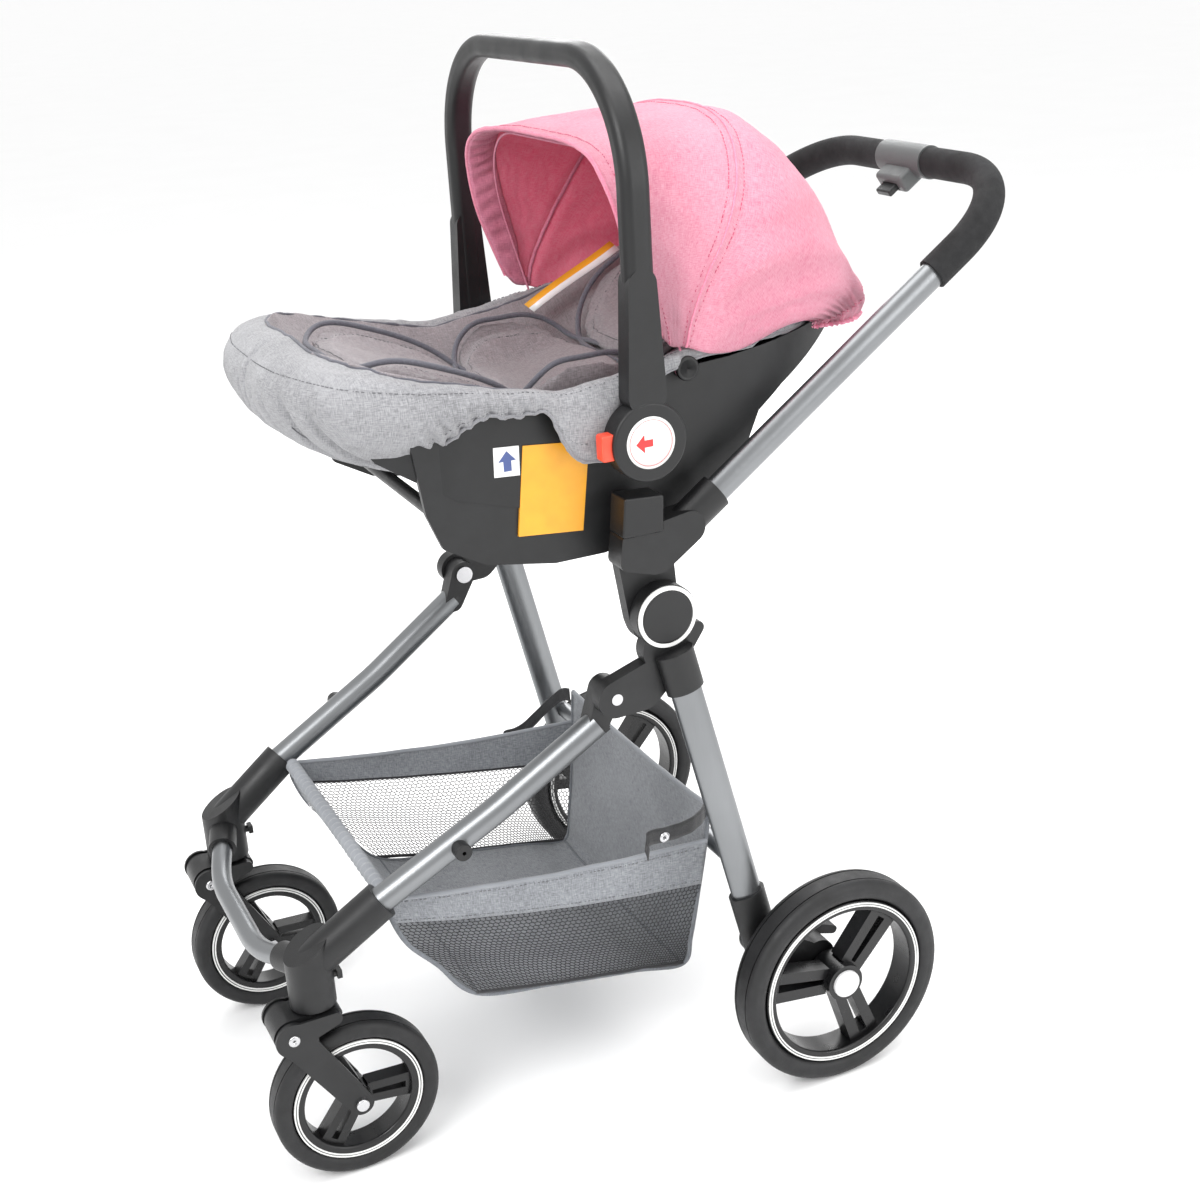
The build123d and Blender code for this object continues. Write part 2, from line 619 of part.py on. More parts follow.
TUB = [(-304, 800), (-264, 742), (-196, 700), (-90, 668), (0, 668), (96, 706), (160, 756), (230, 798),
       (290, 814), (296, 828), (218, 812), (99, 794), (-73, 782), (-150, 788), (-300, 812)]
TUB_FRONT_Y = -306.0
TUB_REAR_Y = 300.0
TUB_FRONT_R = 118.0
TUB_REAR_R = 170.0
SKIRT = [(-238, 768), (-228, 690), (-214, 654), (-172, 630), (-100, 617), (-46, 617), (24, 637),
         (119, 703), (158, 790), (60, 780), (-150, 780)]


def tub_block(inset):
    """The tub's outer form, or a smaller one inside it, or (below zero) a larger one round it."""
    side = outline(TUB)
    if inset:
        side = offset(side, -inset)
    half = SHELL_HALF_W - inset
    plan = plan_prism(TUB_FRONT_Y + inset, TUB_REAR_Y - inset, half, TUB_FRONT_R - inset, TUB_REAR_R - inset)
    return plate(side, -half, half) & plan


def make_shell():
    """The moulded carrier shell: open tub, two rocker skirts, handle and canopy bosses."""
    shell = tub_block(0.0)
    for lift in (0, 6, 12, 24, 40):
        shell -= Pos(0, 0, lift) * tub_block(SHELL_WALL)
    skirt = plate(outline(SKIRT, 6.0), SHELL_HALF_W - 8, SHELL_HALF_W - 2)
    skirt -= tub_block(0.5)
    boss = axis_x(CARRY_PIVOT, SHELL_HALF_W - 8, BOSS_X, 36.0)
    boss += axis_x(CARRY_PIVOT, BOSS_X - 1, BOSS_X + 16, 11.0)
    knob = axis_x(CANOPY_PIVOT, SHELL_HALF_W - 6, SHELL_HALF_W + 5, 11.0)
    knob += axis_x(CANOPY_PIVOT, SHELL_HALF_W + 4, BOW_EYE_X[1] + 1, BOW_PIN_R)
    tie_end = (SHELL_HALF_W - SHELL_WALL, -196, 668)
    tie = rod((-tie_end[0], tie_end[1], tie_end[2]), tie_end, 7.0)
    side_parts = skirt + boss + knob - tub_block(3.0) - Pos(0, 0, 25) * tub_block(3.0)
    return shell + side_parts + right_of(side_parts) + tie


SHELL_WALL = 4.0
BOSS_X = 206.0
HANDLE_X = (BOSS_X + CLEAR, 230.0)
BOW_EYE_X = (SHELL_HALF_W + 5.5, SHELL_HALF_W + 9.5)
BOW_EYE_R = 11.0
BOW_PIN_R = 6.0


def make_carry_handle():
    """The carrying bar: two hub discs and an inverted U between them."""
    (y, z), x = CARRY_PIVOT, CARRY_X
    hub = plate(disc(CARRY_PIVOT, 39.0), *HANDLE_X)
    hub = fillet(hub.edges().group_by(Axis.X)[-1], 3.0)
    path = FilletPolyline((x, y, z + 10), (x, y, CARRY_TOP_Z), (-x, y, CARRY_TOP_Z), (-x, y, z + 10),
                          radius=CARRY_CORNER_R)
    section = RectangleRounded(*CARRY_BAR_SIZE, 9.0)
    bar = sweep(Plane(path @ 0, x_dir=(1, 0, 0), z_dir=path % 0) * section, path)
    flare = plate(hull((y, z + 45, 20), (y, z + 150, 14.5)), HANDLE_X[0], HANDLE_X[1] - 1)
    bar += flare + right_of(flare)
    bore = axis_x(CARRY_PIVOT, 190, BOSS_X + 16 + CLEAR, 11.0 + PIN_PLAY)
    handle = bar + hub + right_of(hub) - bore - right_of(bore)
    button_room = plate(BUTTON_SKETCH, BUTTON_X[0] - 0.4, BUTTON_X[1] + 0.4)
    room = Pos(0, 7, 0) * button_room + button_room
    return handle - room - right_of(room)


BUTTON_X = (211.0, 225.5)
BUTTON_SKETCH = outline([(-66, 725), (-46, 725), (-46, 751), (-66, 751)], 3.0)


def make_button():
    """The coloured release button in the front edge of a handle hub."""
    return fillet(plate(BUTTON_SKETCH, *BUTTON_X).edges().group_by(Axis.Y)[0], 2.0)


def make_rim_pad():
    """The padded cover round the carrier's rim, open over the seat."""
    side = [(-332, 800), (-322, 770), (-292, 738), (-235, 742), (-110, 760), (-88, 722), (-60, 722),
            (-58, 790), (40, 790), (150, 803), (308, 806), (296, 856), (262, 862), (190, 852), (90, 826),
            (-20, 828), (-73, 804), (-150, 812), (-225, 836), (-268, 850), (-312, 838)]
    pad = plate(outline(side), -PAD_HALF_W, PAD_HALF_W)
    front_half = plan_prism(-332, 400, PAD_HALF_W, 140, 60) & Pos(0, -380, 800) * Box(500, 800, 400)
    rear_half = plan_prism(-100, 308, CANOPY_HALF_W - 10, 40, 150) & Pos(0, 220, 800) * Box(500, 402, 400)
    pad &= front_half + rear_half
    pad = pad - plan_prism(-292, 282, 150, 96, 92) - tub_block(-1.0)
    skirt_room = plate(offset(outline(SKIRT), 0.6), SHELL_HALF_W - 10, SHELL_HALF_W)
    pad = pad - skirt_room - right_of(skirt_room)
    side_room = plate(disc(CARRY_PIVOT, 42.5), 178, 260) + plate(disc(CANOPY_PIVOT, 13), 170, 192)
    leg_room = plate(outline([(-38, 738), (4, 738), (4, 900), (-38, 900)]), HANDLE_X[0] - 1.5, 260)
    button_room = plate(outline([(-76, 718), (-50, 718), (-50, 758), (-76, 758)]), BUTTON_X[0] - 5, 260)
    for room in (side_room, leg_room, button_room):
        pad = pad - room - right_of(room)
    return pad.solids().sort_by(SortBy.VOLUME)[-1]


CUSHIONS = {
    "leg_cushion": [(-262, 806), (-196, 776), (-122, 752), (-126, 728), (-200, 748), (-256, 770)],
    "seat_cushion": [(-118, 750), (-30, 738), (40, 760), (46, 734), (-30, 712), (-120, 724)],
    "head_cushion": [(48, 766), (150, 818), (262, 858), (266, 832), (158, 788), (54, 740)],
}


def add_cushions():
    half_widths = {"leg_cushion": 118.0, "seat_cushion": 132.0, "head_cushion": 106.0}
    for name, points in CUSHIONS.items():
        half = half_widths[name]
        add(name, fillet(plate(outline(points), -half, half).edges().filter_by(Axis.X), 8.0))


def make_harness():
    """Two shoulder webs and the buckle, stowed under the inner cushions."""
    points = [(-70, 700), (20, 708), (150, 768), (150, 770), (20, 710), (-70, 702)]
    web = plate(outline(points), 30.0, 55.0)
    buckle = fillet((Pos(0, -84, 702) * Box(58, 40, 14)).edges(), 4)
    return group(web, right_of(web), buckle)


# Canopy ribs: angle from straight up towards the front, height above the pivot line.
CANOPY_RIBS = [(16.5, 221.0), (-1.8, 220.0), (-24.5, 248.0), (-35.3, 261.0), (-50.6, 260.0),
               (-70.2, 266.0), (-84.7, 282.0)]
CANOPY_HALF_W = 190.0
CANOPY_CORNER_R = 120.0
CANOPY_HEM = 14.0


def rib_plane(angle):
    """A plane through the canopy's pivot line: local x is across, local y is up the rib."""
    a = math.radians(angle)
    up = Vector(0, -math.sin(a), math.cos(a))
    return Plane(Vector(0, *CANOPY_PIVOT), x_dir=(1, 0, 0), z_dir=Vector(1, 0, 0).cross(up))


def canopy_block(inset):
    """The dome lofted through its ribs, which all fan out from one pivot line."""
    faces = []
    for angle, reach in CANOPY_RIBS:
        w, h, low = CANOPY_HALF_W - inset, reach - inset, CANOPY_HEM - inset
        sketch = make_face(Polyline((-w, low), (w, low), (w, h), (-w, h), close=True))
        sketch = fillet(sketch.vertices().sort_by(Axis.Y)[-2:], CANOPY_CORNER_R - inset)
        faces.append(rib_plane(angle) * sketch)
    return loft(faces, ruled=True)


def make_canopy():
    """The cloth dome: open in front and below."""
    return canopy_block(0.0) - canopy_block(3.0)


def make_canopy_bow():
    """The sprung wire bow inside the canopy's front edge, with an eye round each canopy pin."""
    angle, reach = CANOPY_RIBS[0]
    w, h = CANOPY_HALF_W - 4.6, reach - 7
    corners = [(w, BOW_EYE_R - 1), (w, h), (-w, h), (-w, BOW_EYE_R - 1)]
    path = rib_plane(angle - 1.2) * FilletPolyline(*corners, radius=CANOPY_CORNER_R - 6)
    bow = sweep(Plane(path @ 0, z_dir=path % 0) * Circle(1.2), path)
    eye = axis_x(CANOPY_PIVOT, *BOW_EYE_X, BOW_EYE_R)
    eye -= axis_x(CANOPY_PIVOT, 180, 195, BOW_PIN_R + PIN_PLAY)
    return bow + eye + right_of(eye)


def add_carrier():
    add("seat_shell", make_shell())
    add("rim_pad", make_rim_pad())
    add_cushions()
    add("harness", make_harness())
    add("carry_handle", make_carry_handle())
    add_pair("release_button", make_button())
    add("canopy", make_canopy())
    add("canopy_bow", make_canopy_bow())


# ---------------------------------------------------------------- everything
def build():
    add_wheels()
    add_casters()
    add_front_legs()
    add_rear_frame()
    add_upper_frame()
    add_carrier()
    os.makedirs("parts", exist_ok=True)
    for name, solid in NODES.items():
        solid.label = name
        export_step(solid, f"parts/{name}.step")


build()
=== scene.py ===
import json
import math

import bpy
import numpy as np
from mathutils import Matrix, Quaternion, Vector, noise
from mathutils.bvhtree import BVHTree


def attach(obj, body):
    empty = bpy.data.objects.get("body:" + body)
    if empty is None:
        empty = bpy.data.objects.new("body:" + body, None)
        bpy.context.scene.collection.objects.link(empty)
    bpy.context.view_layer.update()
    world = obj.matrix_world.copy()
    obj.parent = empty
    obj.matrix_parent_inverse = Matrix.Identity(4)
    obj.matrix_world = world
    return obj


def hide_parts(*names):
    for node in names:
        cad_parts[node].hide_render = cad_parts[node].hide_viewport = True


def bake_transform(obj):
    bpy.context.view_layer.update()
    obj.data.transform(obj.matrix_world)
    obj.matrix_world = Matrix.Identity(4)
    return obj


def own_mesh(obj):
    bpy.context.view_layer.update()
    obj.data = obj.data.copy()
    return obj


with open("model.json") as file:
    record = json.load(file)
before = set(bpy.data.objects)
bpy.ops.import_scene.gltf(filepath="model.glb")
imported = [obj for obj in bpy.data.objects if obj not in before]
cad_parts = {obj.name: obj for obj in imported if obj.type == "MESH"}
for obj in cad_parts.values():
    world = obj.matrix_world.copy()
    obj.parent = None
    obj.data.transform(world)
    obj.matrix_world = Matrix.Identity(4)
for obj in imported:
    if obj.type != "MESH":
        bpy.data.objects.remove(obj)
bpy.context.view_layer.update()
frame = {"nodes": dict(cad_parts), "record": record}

# Baby stroller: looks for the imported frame. Metres; tables marked _MM are in millimetres.
# +X is the rider's left, -Y is the front, +Z is up. The object is symmetric about x = 0.
MM = 0.001
SIDES = ((1, "left"), (-1, "right"))
CLOTH_FRAMES = 20


# ---------------------------------------------------------------- curves and meshes
def mm(*values):
    return Vector(v * MM for v in values)


def lerp(a, b, t):
    return a + (b - a) * t


def smoothstep(low, high, x):
    t = min(1.0, max(0.0, (x - low) / (high - low)))
    return t * t * (3 - 2 * t)


def hermite(keys, x):
    """A smooth curve through (x, value) keys; values are numbers or Vectors."""
    if x <= keys[0][0]:
        return keys[0][1]
    if x >= keys[-1][0]:
        return keys[-1][1]
    i = max(k for k in range(len(keys) - 1) if keys[k][0] <= x)
    (x0, v0), (x1, v1) = keys[i], keys[i + 1]
    xa, va = keys[i - 1] if i > 0 else keys[i]
    xb, vb = keys[i + 2] if i + 2 < len(keys) else keys[i + 1]
    m0 = (v1 - va) * (1.0 / (x1 - xa))
    m1 = (vb - v0) * (1.0 / (xb - x0))
    h = x1 - x0
    t = (x - x0) / h
    a = v0 * (2 * t**3 - 3 * t**2 + 1) + m0 * (h * (t**3 - 2 * t**2 + t))
    return a + v1 * (3 * t**2 - 2 * t**3) + m1 * (h * (t**3 - t**2))


def even_keys(values):
    """Keys for hermite() spread evenly from 0 to 1."""
    return [(i / (len(values) - 1), v) for i, v in enumerate(values)]


def link(name, data):
    obj = bpy.data.objects.new(name, data)
    bpy.context.scene.collection.objects.link(obj)
    return obj


def mesh_piece(name, points, faces, *materials):
    mesh = bpy.data.meshes.new(name)
    mesh.from_pydata([tuple(p) for p in points], [], faces)
    mesh.update()
    for m in materials:
        mesh.materials.append(m)
    mesh.polygons.foreach_set("use_smooth", [True] * len(mesh.polygons))
    return link(name, mesh)


def grid_faces(rows, columns, wrap_rows=False, wrap_columns=False):
    faces = []
    for i in range(rows if wrap_rows else rows - 1):
        for j in range(columns if wrap_columns else columns - 1):
            i2, j2 = (i + 1) % rows, (j + 1) % columns
            faces.append((i * columns + j, i * columns + j2, i2 * columns + j2, i2 * columns + j))
    return faces


def set_uv(obj, uv_of_vertex):
    layer = obj.data.uv_layers.new(name="UVMap")
    for loop in obj.data.loops:
        layer.data[loop.index].uv = uv_of_vertex[loop.vertex_index]


def applied(obj):
    """Replaces obj's mesh with its evaluated one, so no modifier is left on it."""
    graph = bpy.context.evaluated_depsgraph_get()
    mesh = bpy.data.meshes.new_from_object(obj.evaluated_get(graph))
    obj.modifiers.clear()
    obj.data = mesh
    return obj


def solidify(obj, thickness, offset=0.0, inner_material=0):
    m = obj.modifiers.new("Solidify", "SOLIDIFY")
    m.thickness = thickness
    m.offset = offset
    m.material_offset = inner_material
    return applied(obj)


def subdivide(obj):
    m = obj.modifiers.new("Subdivision", "SUBSURF")
    m.levels = m.render_levels = 1
    return applied(obj)


def tube(name, points, radius, material, closed=False, sides=8):
    """A round cord of cloth or thread that follows the points."""
    count = len(points)
    rings, normal = [], None
    for i, p in enumerate(points):
        before = points[i - 1] if closed or i else p
        after = points[(i + 1) % count] if closed or i < count - 1 else p
        tangent = (after - before).normalized()
        if normal is None:
            normal = tangent.orthogonal().normalized()
        normal = (normal - tangent * normal.dot(tangent)).normalized()
        side = tangent.cross(normal)
        for k in range(sides):
            a = 2 * math.pi * k / sides
            rings.append(p + (normal * math.cos(a) + side * math.sin(a)) * radius)
    faces = grid_faces(count, sides, wrap_rows=closed, wrap_columns=True)
    if not closed:
        faces.append(tuple(range(sides)))
        faces.append(tuple(range((count - 1) * sides, count * sides))[::-1])
    return mesh_piece(name, rings, faces, material)


def lathe_x(name, profile, centre, material, segments=96):
    """A ring about the X axis; profile is a closed list of (x, radius)."""
    points = []
    for i in range(segments):
        a = 2 * math.pi * i / segments
        for x, r in profile:
            points.append(centre + Vector((x, r * math.cos(a), r * math.sin(a))))
    return mesh_piece(name, points, grid_faces(segments, len(profile), True, True), material)


def surface_of(obj):
    return BVHTree.FromPolygons([v.co for v in obj.data.vertices], [p.vertices for p in obj.data.polygons])


def on_surface(tree, point, lift=0.0):
    """The nearest point of a surface, lifted off it."""
    place, normal, _, _ = tree.find_nearest(point)
    return place + normal * lift


def inflate(obj, voxel, cap, pressure=4.0):
    """Stuffs a closed piece by cloth simulation; no point travels further than cap."""
    remesh = obj.modifiers.new("Remesh", "REMESH")
    remesh.mode = "VOXEL"
    remesh.voxel_size = voxel
    materials = list(obj.data.materials)
    applied(obj)
    obj.data.materials.clear()
    for m in materials:
        obj.data.materials.append(m)
    rest = np.array([v.co for v in obj.data.vertices])
    cloth = obj.modifiers.new("Cloth", "CLOTH")
    cloth.settings.use_pressure = True
    cloth.settings.uniform_pressure_force = pressure
    cloth.settings.effector_weights.gravity = 0.0
    scene = bpy.context.scene
    for moment in range(1, CLOTH_FRAMES + 1):
        scene.frame_set(moment)
    graph = bpy.context.evaluated_depsgraph_get()
    moved = np.array([v.co for v in obj.evaluated_get(graph).data.vertices])
    obj.modifiers.clear()
    scene.frame_set(1)
    travel = moved - rest
    length = np.linalg.norm(travel, axis=1, keepdims=True)
    travel *= np.minimum(1.0, cap / np.maximum(length, 1e-9))
    obj.data.vertices.foreach_set("co", (rest + travel).astype(np.float32).ravel())
    obj.data.update()
    obj.data.polygons.foreach_set("use_smooth", [True] * len(obj.data.polygons))
    subdivide(obj)


def displace(obj, height):
    """Moves each vertex along its normal by height(point)."""
    normals = [v.normal.copy() for v in obj.data.vertices]
    for v, n in zip(obj.data.vertices, normals):
        v.co += n * height(v.co)
    obj.data.update()


# ---------------------------------------------------------------- materials
def linear(r, g, b):
    """A screen colour, 0 to 255, as a linear one."""
    def one(c):
        c /= 255
        return c / 12.92 if c <= 0.04045 else ((c + 0.055) / 1.055) ** 2.4
    return (one(r), one(g), one(b), 1.0)


class Shader:
    """One material's node tree, with short calls to add and join nodes."""

    def __init__(self, name, **constants):
        self.material = bpy.data.materials.new(name)
        self.material.use_nodes = True
        self.tree = self.material.node_tree
        self.out = self.tree.nodes["Principled BSDF"]
        for key, value in constants.items():
            self.out.inputs[key.replace("_", " ")].default_value = value

    def node(self, kind, settings=None, **inputs):
        n = self.tree.nodes.new("ShaderNode" + kind)
        for key, value in (settings or {}).items():
            setattr(n, key, value)
        for key, value in inputs.items():
            self.feed(n, key, value)
        return n

    def feed(self, n, key, value):
        by_number = key[0] == "i" and key[1:].isdigit()
        socket = n.inputs[int(key[1:]) if by_number else key.replace("_", " ")]
        if isinstance(value, bpy.types.NodeSocket):
            self.tree.links.new(value, socket)
        else:
            socket.default_value = value

    def math(self, operation, a, b=0.0, c=0.0):
        return self.node("Math", {"operation": operation}, i0=a, i1=b, i2=c).outputs[0]

    def scaled(self, vector, x, y, z):
        n = self.node("VectorMath", {"operation": "MULTIPLY"}, i0=vector)
        n.inputs[1].default_value = (x, y, z)
        return n.outputs[0]

    def noise(self, vector, scale, detail=2.0, roughness=0.5):
        n = self.node("TexNoise", None, Vector=vector, Scale=scale, Detail=detail, Roughness=roughness)
        return n.outputs["Fac"]

    def spread(self, value, low, high, to_low=0.0, to_high=1.0):
        n = self.node("MapRange", None, Value=value)
        for key, number in (("From Min", low), ("From Max", high), ("To Min", to_low), ("To Max", to_high)):
            n.inputs[key].default_value = number
        return n.outputs["Result"]

    def mix(self, factor, a, b):
        n = self.node("Mix", {"data_type": "RGBA"})
        for index, value in ((0, factor), (6, a), (7, b)):
            if isinstance(value, bpy.types.NodeSocket):
                self.tree.links.new(value, n.inputs[index])
            else:
                n.inputs[index].default_value = value
        return n.outputs[2]

    def place(self):
        return self.node("TexCoord").outputs["Object"]

    def uv(self):
        return self.node("TexCoord").outputs["UV"]

    def bump(self, height, distance, strength=1.0):
        n = self.node("Bump", None, Height=height)
        n.inputs["Distance"].default_value = distance
        n.inputs["Strength"].default_value = strength
        self.feed(self.out, "Normal", n.outputs[0])

    def colour(self, value):
        self.feed(self.out, "Base_Color", value)

    def roughness(self, value):
        self.feed(self.out, "Roughness", value)


def plastic(name, dark, light, rough, grain=0.00012, wear=0.3):
    """Moulded plastic: a spark-eroded grain, uneven gloss and paler rubbed edges."""
    s = Shader(name)
    p = s.place()
    cloud = s.noise(p, 9.0, 3.0)
    edge = s.spread(s.node("NewGeometry").outputs["Pointiness"], 0.515, 0.56, 0.0, wear)
    scuff = s.math("MULTIPLY", edge, s.spread(s.noise(p, 60.0, 4.0), 0.4, 0.62))
    s.colour(s.mix(s.math("ADD", s.spread(cloud, 0.3, 0.7, 0.0, 0.25), scuff), linear(*dark), linear(*light)))
    s.roughness(s.spread(s.noise(p, 34.0, 4.0), 0.3, 0.7, rough - 0.07, rough + 0.08))
    s.bump(s.noise(p, 1500.0, 2.0, 0.6), grain)
    return s.material


def metal(name, tint, rough, streak):
    """Anodised or plated metal with fine drawn streaks."""
    s = Shader(name, Metallic=1.0)
    p = s.place()
    fine = s.noise(s.scaled(p, 900.0, 900.0, 40.0), 1.0, 3.0)
    low = [c * 0.86 for c in linear(*tint)[:3]] + [1.0]
    s.colour(s.mix(s.spread(s.noise(p, 7.0, 3.0), 0.3, 0.7), low, linear(*tint)))
    s.roughness(s.spread(fine, 0.25, 0.75, rough - streak, rough + streak))
    s.bump(fine, 0.00003)
    return s.material


def rubber(name, dark, light, rough, pore, depth):
    s = Shader(name)
    p = s.place()
    s.colour(s.mix(s.spread(s.noise(p, 22.0, 4.0), 0.35, 0.75), linear(*dark), linear(*light)))
    s.roughness(s.spread(s.noise(p, 90.0, 3.0), 0.3, 0.7, rough - 0.08, rough + 0.06))
    s.bump(s.noise(p, pore, 3.0, 0.7), depth)
    return s.material


def weave(s, u_axis, v_axis, pitch):
    """Height of a plain weave and its heathered yarn tint, on two axes of the coordinates."""
    u = s.math("MULTIPLY", u_axis, 2 * math.pi / pitch)
    v = s.math("MULTIPLY", v_axis, 2 * math.pi / pitch)
    height = s.math("MULTIPLY", s.math("SINE", u), s.math("SINE", v))
    both = s.node("CombineXYZ", None, X=u_axis, Y=v_axis).outputs[0]
    warp = s.noise(s.scaled(both, 1.3 / pitch, 0.16 / pitch, 1.0), 1.0, 2.0, 0.6)
    weft = s.noise(s.scaled(both, 0.16 / pitch, 1.3 / pitch, 1.0), 1.0, 2.0, 0.6)
    return height, s.math("ADD", warp, weft)


def boxed(s, pitch):
    """A weave for pieces without UVs, laid from three sides and chosen by the surface's direction."""
    axes = s.node("SeparateXYZ", None, Vector=s.place()).outputs
    facing = s.node("SeparateXYZ", None, Vector=s.node("NewGeometry").outputs["Normal"]).outputs
    pairs = [(axes[1], axes[2]), (axes[0], axes[2]), (axes[0], axes[1])]
    height = tint = total = None
    for k, (a, b) in enumerate(pairs):
        share = s.math("POWER", s.math("ABSOLUTE", facing[k]), 6.0)
        h, t = weave(s, a, b, pitch)
        h, t = s.math("MULTIPLY", h, share), s.math("MULTIPLY", t, share)
        height = h if height is None else s.math("ADD", height, h)
        tint = t if tint is None else s.math("ADD", tint, t)
        total = share if total is None else s.math("ADD", total, share)
    return s.math("DIVIDE", height, total), s.math("DIVIDE", tint, total)


def fabric(name, dark, light, pitch, use_uv=False, sheen=0.25, rough=0.85, through=0.0):
    """Melange cloth: two yarn colours, a plain weave, and the soft edge light of its fibres."""
    s = Shader(name, Sheen_Weight=sheen, Sheen_Roughness=0.5)
    if use_uv:
        axes = s.node("SeparateXYZ", None, Vector=s.uv()).outputs
        height, tint = weave(s, axes[0], axes[1], pitch)
    else:
        height, tint = boxed(s, pitch)
    patch = s.spread(s.noise(s.place(), 14.0, 3.0), 0.3, 0.7, -0.12, 0.12)
    amount = s.math("ADD", s.spread(tint, 0.68, 1.32), patch)
    s.colour(s.mix(amount, linear(*dark), linear(*light)))
    s.roughness(s.spread(tint, 0.7, 1.3, rough - 0.06, rough + 0.06))
    fuzz = s.noise(s.place(), 2600.0, 2.0, 0.7)
    s.bump(s.math("ADD", height, s.math("MULTIPLY", fuzz, 0.9)), pitch * 0.16)
    if through:
        thin = s.node("BsdfTranslucent")
        s.tree.links.new(s.out.inputs["Base Color"].links[0].from_socket, thin.inputs["Color"])
        both = s.node("MixShader", None, Fac=through)
        s.tree.links.new(s.out.outputs[0], both.inputs[1])
        s.tree.links.new(thin.outputs[0], both.inputs[2])
        s.tree.links.new(both.outputs[0], s.tree.nodes["Material Output"].inputs[0])
    return s.material


def trim(name, tint, rough):
    """Smooth printed or lacquered trim with faint unevenness."""
    s = Shader(name, Coat_Weight=0.3, Coat_Roughness=0.15)
    p = s.place()
    low = [c * 0.88 for c in linear(*tint)[:3]] + [1.0]
    s.colour(s.mix(s.spread(s.noise(p, 40.0, 3.0), 0.3, 0.7), low, linear(*tint)))
    s.roughness(s.spread(s.noise(p, 120.0, 3.0), 0.3, 0.7, rough - 0.05, rough + 0.08))
    s.bump(s.noise(p, 700.0, 2.0), 0.00004)
    return s.material


CHARCOAL = plastic("charcoal_plastic", (11, 11, 12), (33, 34, 36), 0.42, wear=0.15)
MATERIALS = {
    "tyre": rubber("tyre_rubber", (13, 13, 14), (26, 26, 28), 0.55, 900.0, 0.00018),
    "rim": plastic("rim_plastic", (8, 8, 9), (28, 28, 31), 0.3, 0.00008, wear=0.15),
    "hub_silver": trim("silver_lacquer", (226, 226, 226), 0.3),
    "frame_metal": metal("satin_aluminium", (138, 140, 142), 0.34, 0.06),
    "black_plastic": CHARCOAL,
    "grey_plastic": plastic("grey_plastic", (74, 77, 77), (112, 115, 115), 0.48),
    "foam": rubber("grip_foam", (15, 15, 16), (32, 32, 34), 0.86, 1700.0, 0.0005),
    "steel": metal("bright_zinc", (206, 206, 208), 0.24, 0.05),
    "white_trim": trim("white_trim", (238, 238, 236), 0.28),
    "red_plastic": plastic("signal_plastic", (226, 62, 38), (250, 120, 92), 0.36, 0.00006),
    "pad_fabric": fabric("light_grey_melange", (112, 112, 115), (176, 176, 179), 0.0012),
    "cushion_fabric": fabric("warm_grey_melange", (108, 101, 104), (164, 157, 160), 0.0012),
    "canopy_fabric": fabric("pink_melange", (232, 128, 158), (252, 190, 208), 0.0013, use_uv=True,
                            through=0.22),
    "basket_fabric": fabric("blue_grey_melange", (104, 107, 112), (168, 171, 176), 0.0013, use_uv=True),
    "webbing": fabric("black_webbing", (26, 26, 27), (52, 52, 55), 0.0016, rough=0.7),
}
PINK_EDGE = fabric("pink_binding", (222, 108, 142), (246, 164, 186), 0.0012)
# The facing cloth is a darker pink than the canopy's outside: painted shade of the hood's inside.
SHADED_FACING = fabric("pink_facing_painted_shade", (196, 104, 132), (230, 150, 174), 0.0013)
PAD_BINDING = fabric("grey_binding", (118, 118, 122), (158, 158, 162), 0.0011)
NET = fabric("black_net", (14, 14, 15), (34, 34, 37), 0.0009)
BASKET_PIPING = fabric("basket_piping", (90, 93, 98), (128, 132, 138), 0.0011)
LABEL_WHITE = trim("label_white", (240, 240, 238), 0.4)
LABEL_RED = trim("label_red", (204, 44, 44), 0.4)
LABEL_BLUE = trim("label_blue", (66, 84, 140), 0.4)
LABEL_ORANGE = trim("label_orange", (238, 166, 36), 0.4)
# The lining is a little darker and more saturated than the canopy's outside: painted shade of the hood's
# inside.
SHADED_LINING = fabric("pink_lining_painted_shade", (246, 116, 148), (255, 172, 192), 0.0013, use_uv=True, through=0.34)
PIPING = fabric("piping", (74, 74, 82), (110, 110, 120), 0.0011)
BLACK_BINDING = fabric("black_binding", (24, 24, 26), (50, 50, 54), 0.0012)
THREAD = rubber("thread", (96, 96, 100), (120, 120, 124), 0.8, 2500.0, 0.0001)
PINK_THREAD = rubber("pink_thread", (206, 84, 118), (226, 112, 142), 0.8, 2500.0, 0.0001)

for part in frame["record"]["subparts"]:
    node = frame["nodes"][part["node"]]
    node.data.materials.clear()
    node.data.materials.append(MATERIALS[part["material_slot"]])
# The canopy's wire bow runs in a sleeve of the facing cloth, so it wears that cloth and its painted shade.
bow = frame["nodes"]["canopy_bow"]
bow.data.materials.clear()
bow.data.materials.append(SHADED_FACING)


# ---------------------------------------------------------------- helpers for soft goods
def other_side(v):
    return Vector((-v.x, v.y, v.z))


def whole_row(half):
    """Keys from the right base over the top to the left base, from a half row given base first."""
    return [other_side(v) for v in half] + list(half[-2::-1])


def loft_rows(places, half_rows, rows, columns):
    """Points of a smooth sheet through half rows at the given places (0 to 1)."""
    points = []
    strips = [list(zip(places, column)) for column in zip(*half_rows)]
    for i in range(rows):
        t = i / (rows - 1)
        half = [hermite(strip, t) for strip in strips]
        keys = even_keys(whole_row(half))
        points.append([hermite(keys, j / (columns - 1)) for j in range(columns)])
    return points


def flatten(rows):
    return [p for row in rows for p in row]


def cloth_uv(obj, rows):
    """Lays out a sheet's UVs in metres of cloth, measured along its rows and its middle column."""
    middle = len(rows[0]) // 2
    uv, v = [], 0.0
    for i, row in enumerate(rows):
        if i:
            v += (row[middle] - rows[i - 1][middle]).length
        lengths = [0.0]
        for a, b in zip(row, row[1:]):
            lengths.append(lengths[-1] + (b - a).length)
        uv += [(u - lengths[middle], v) for u in lengths]
    set_uv(obj, uv)


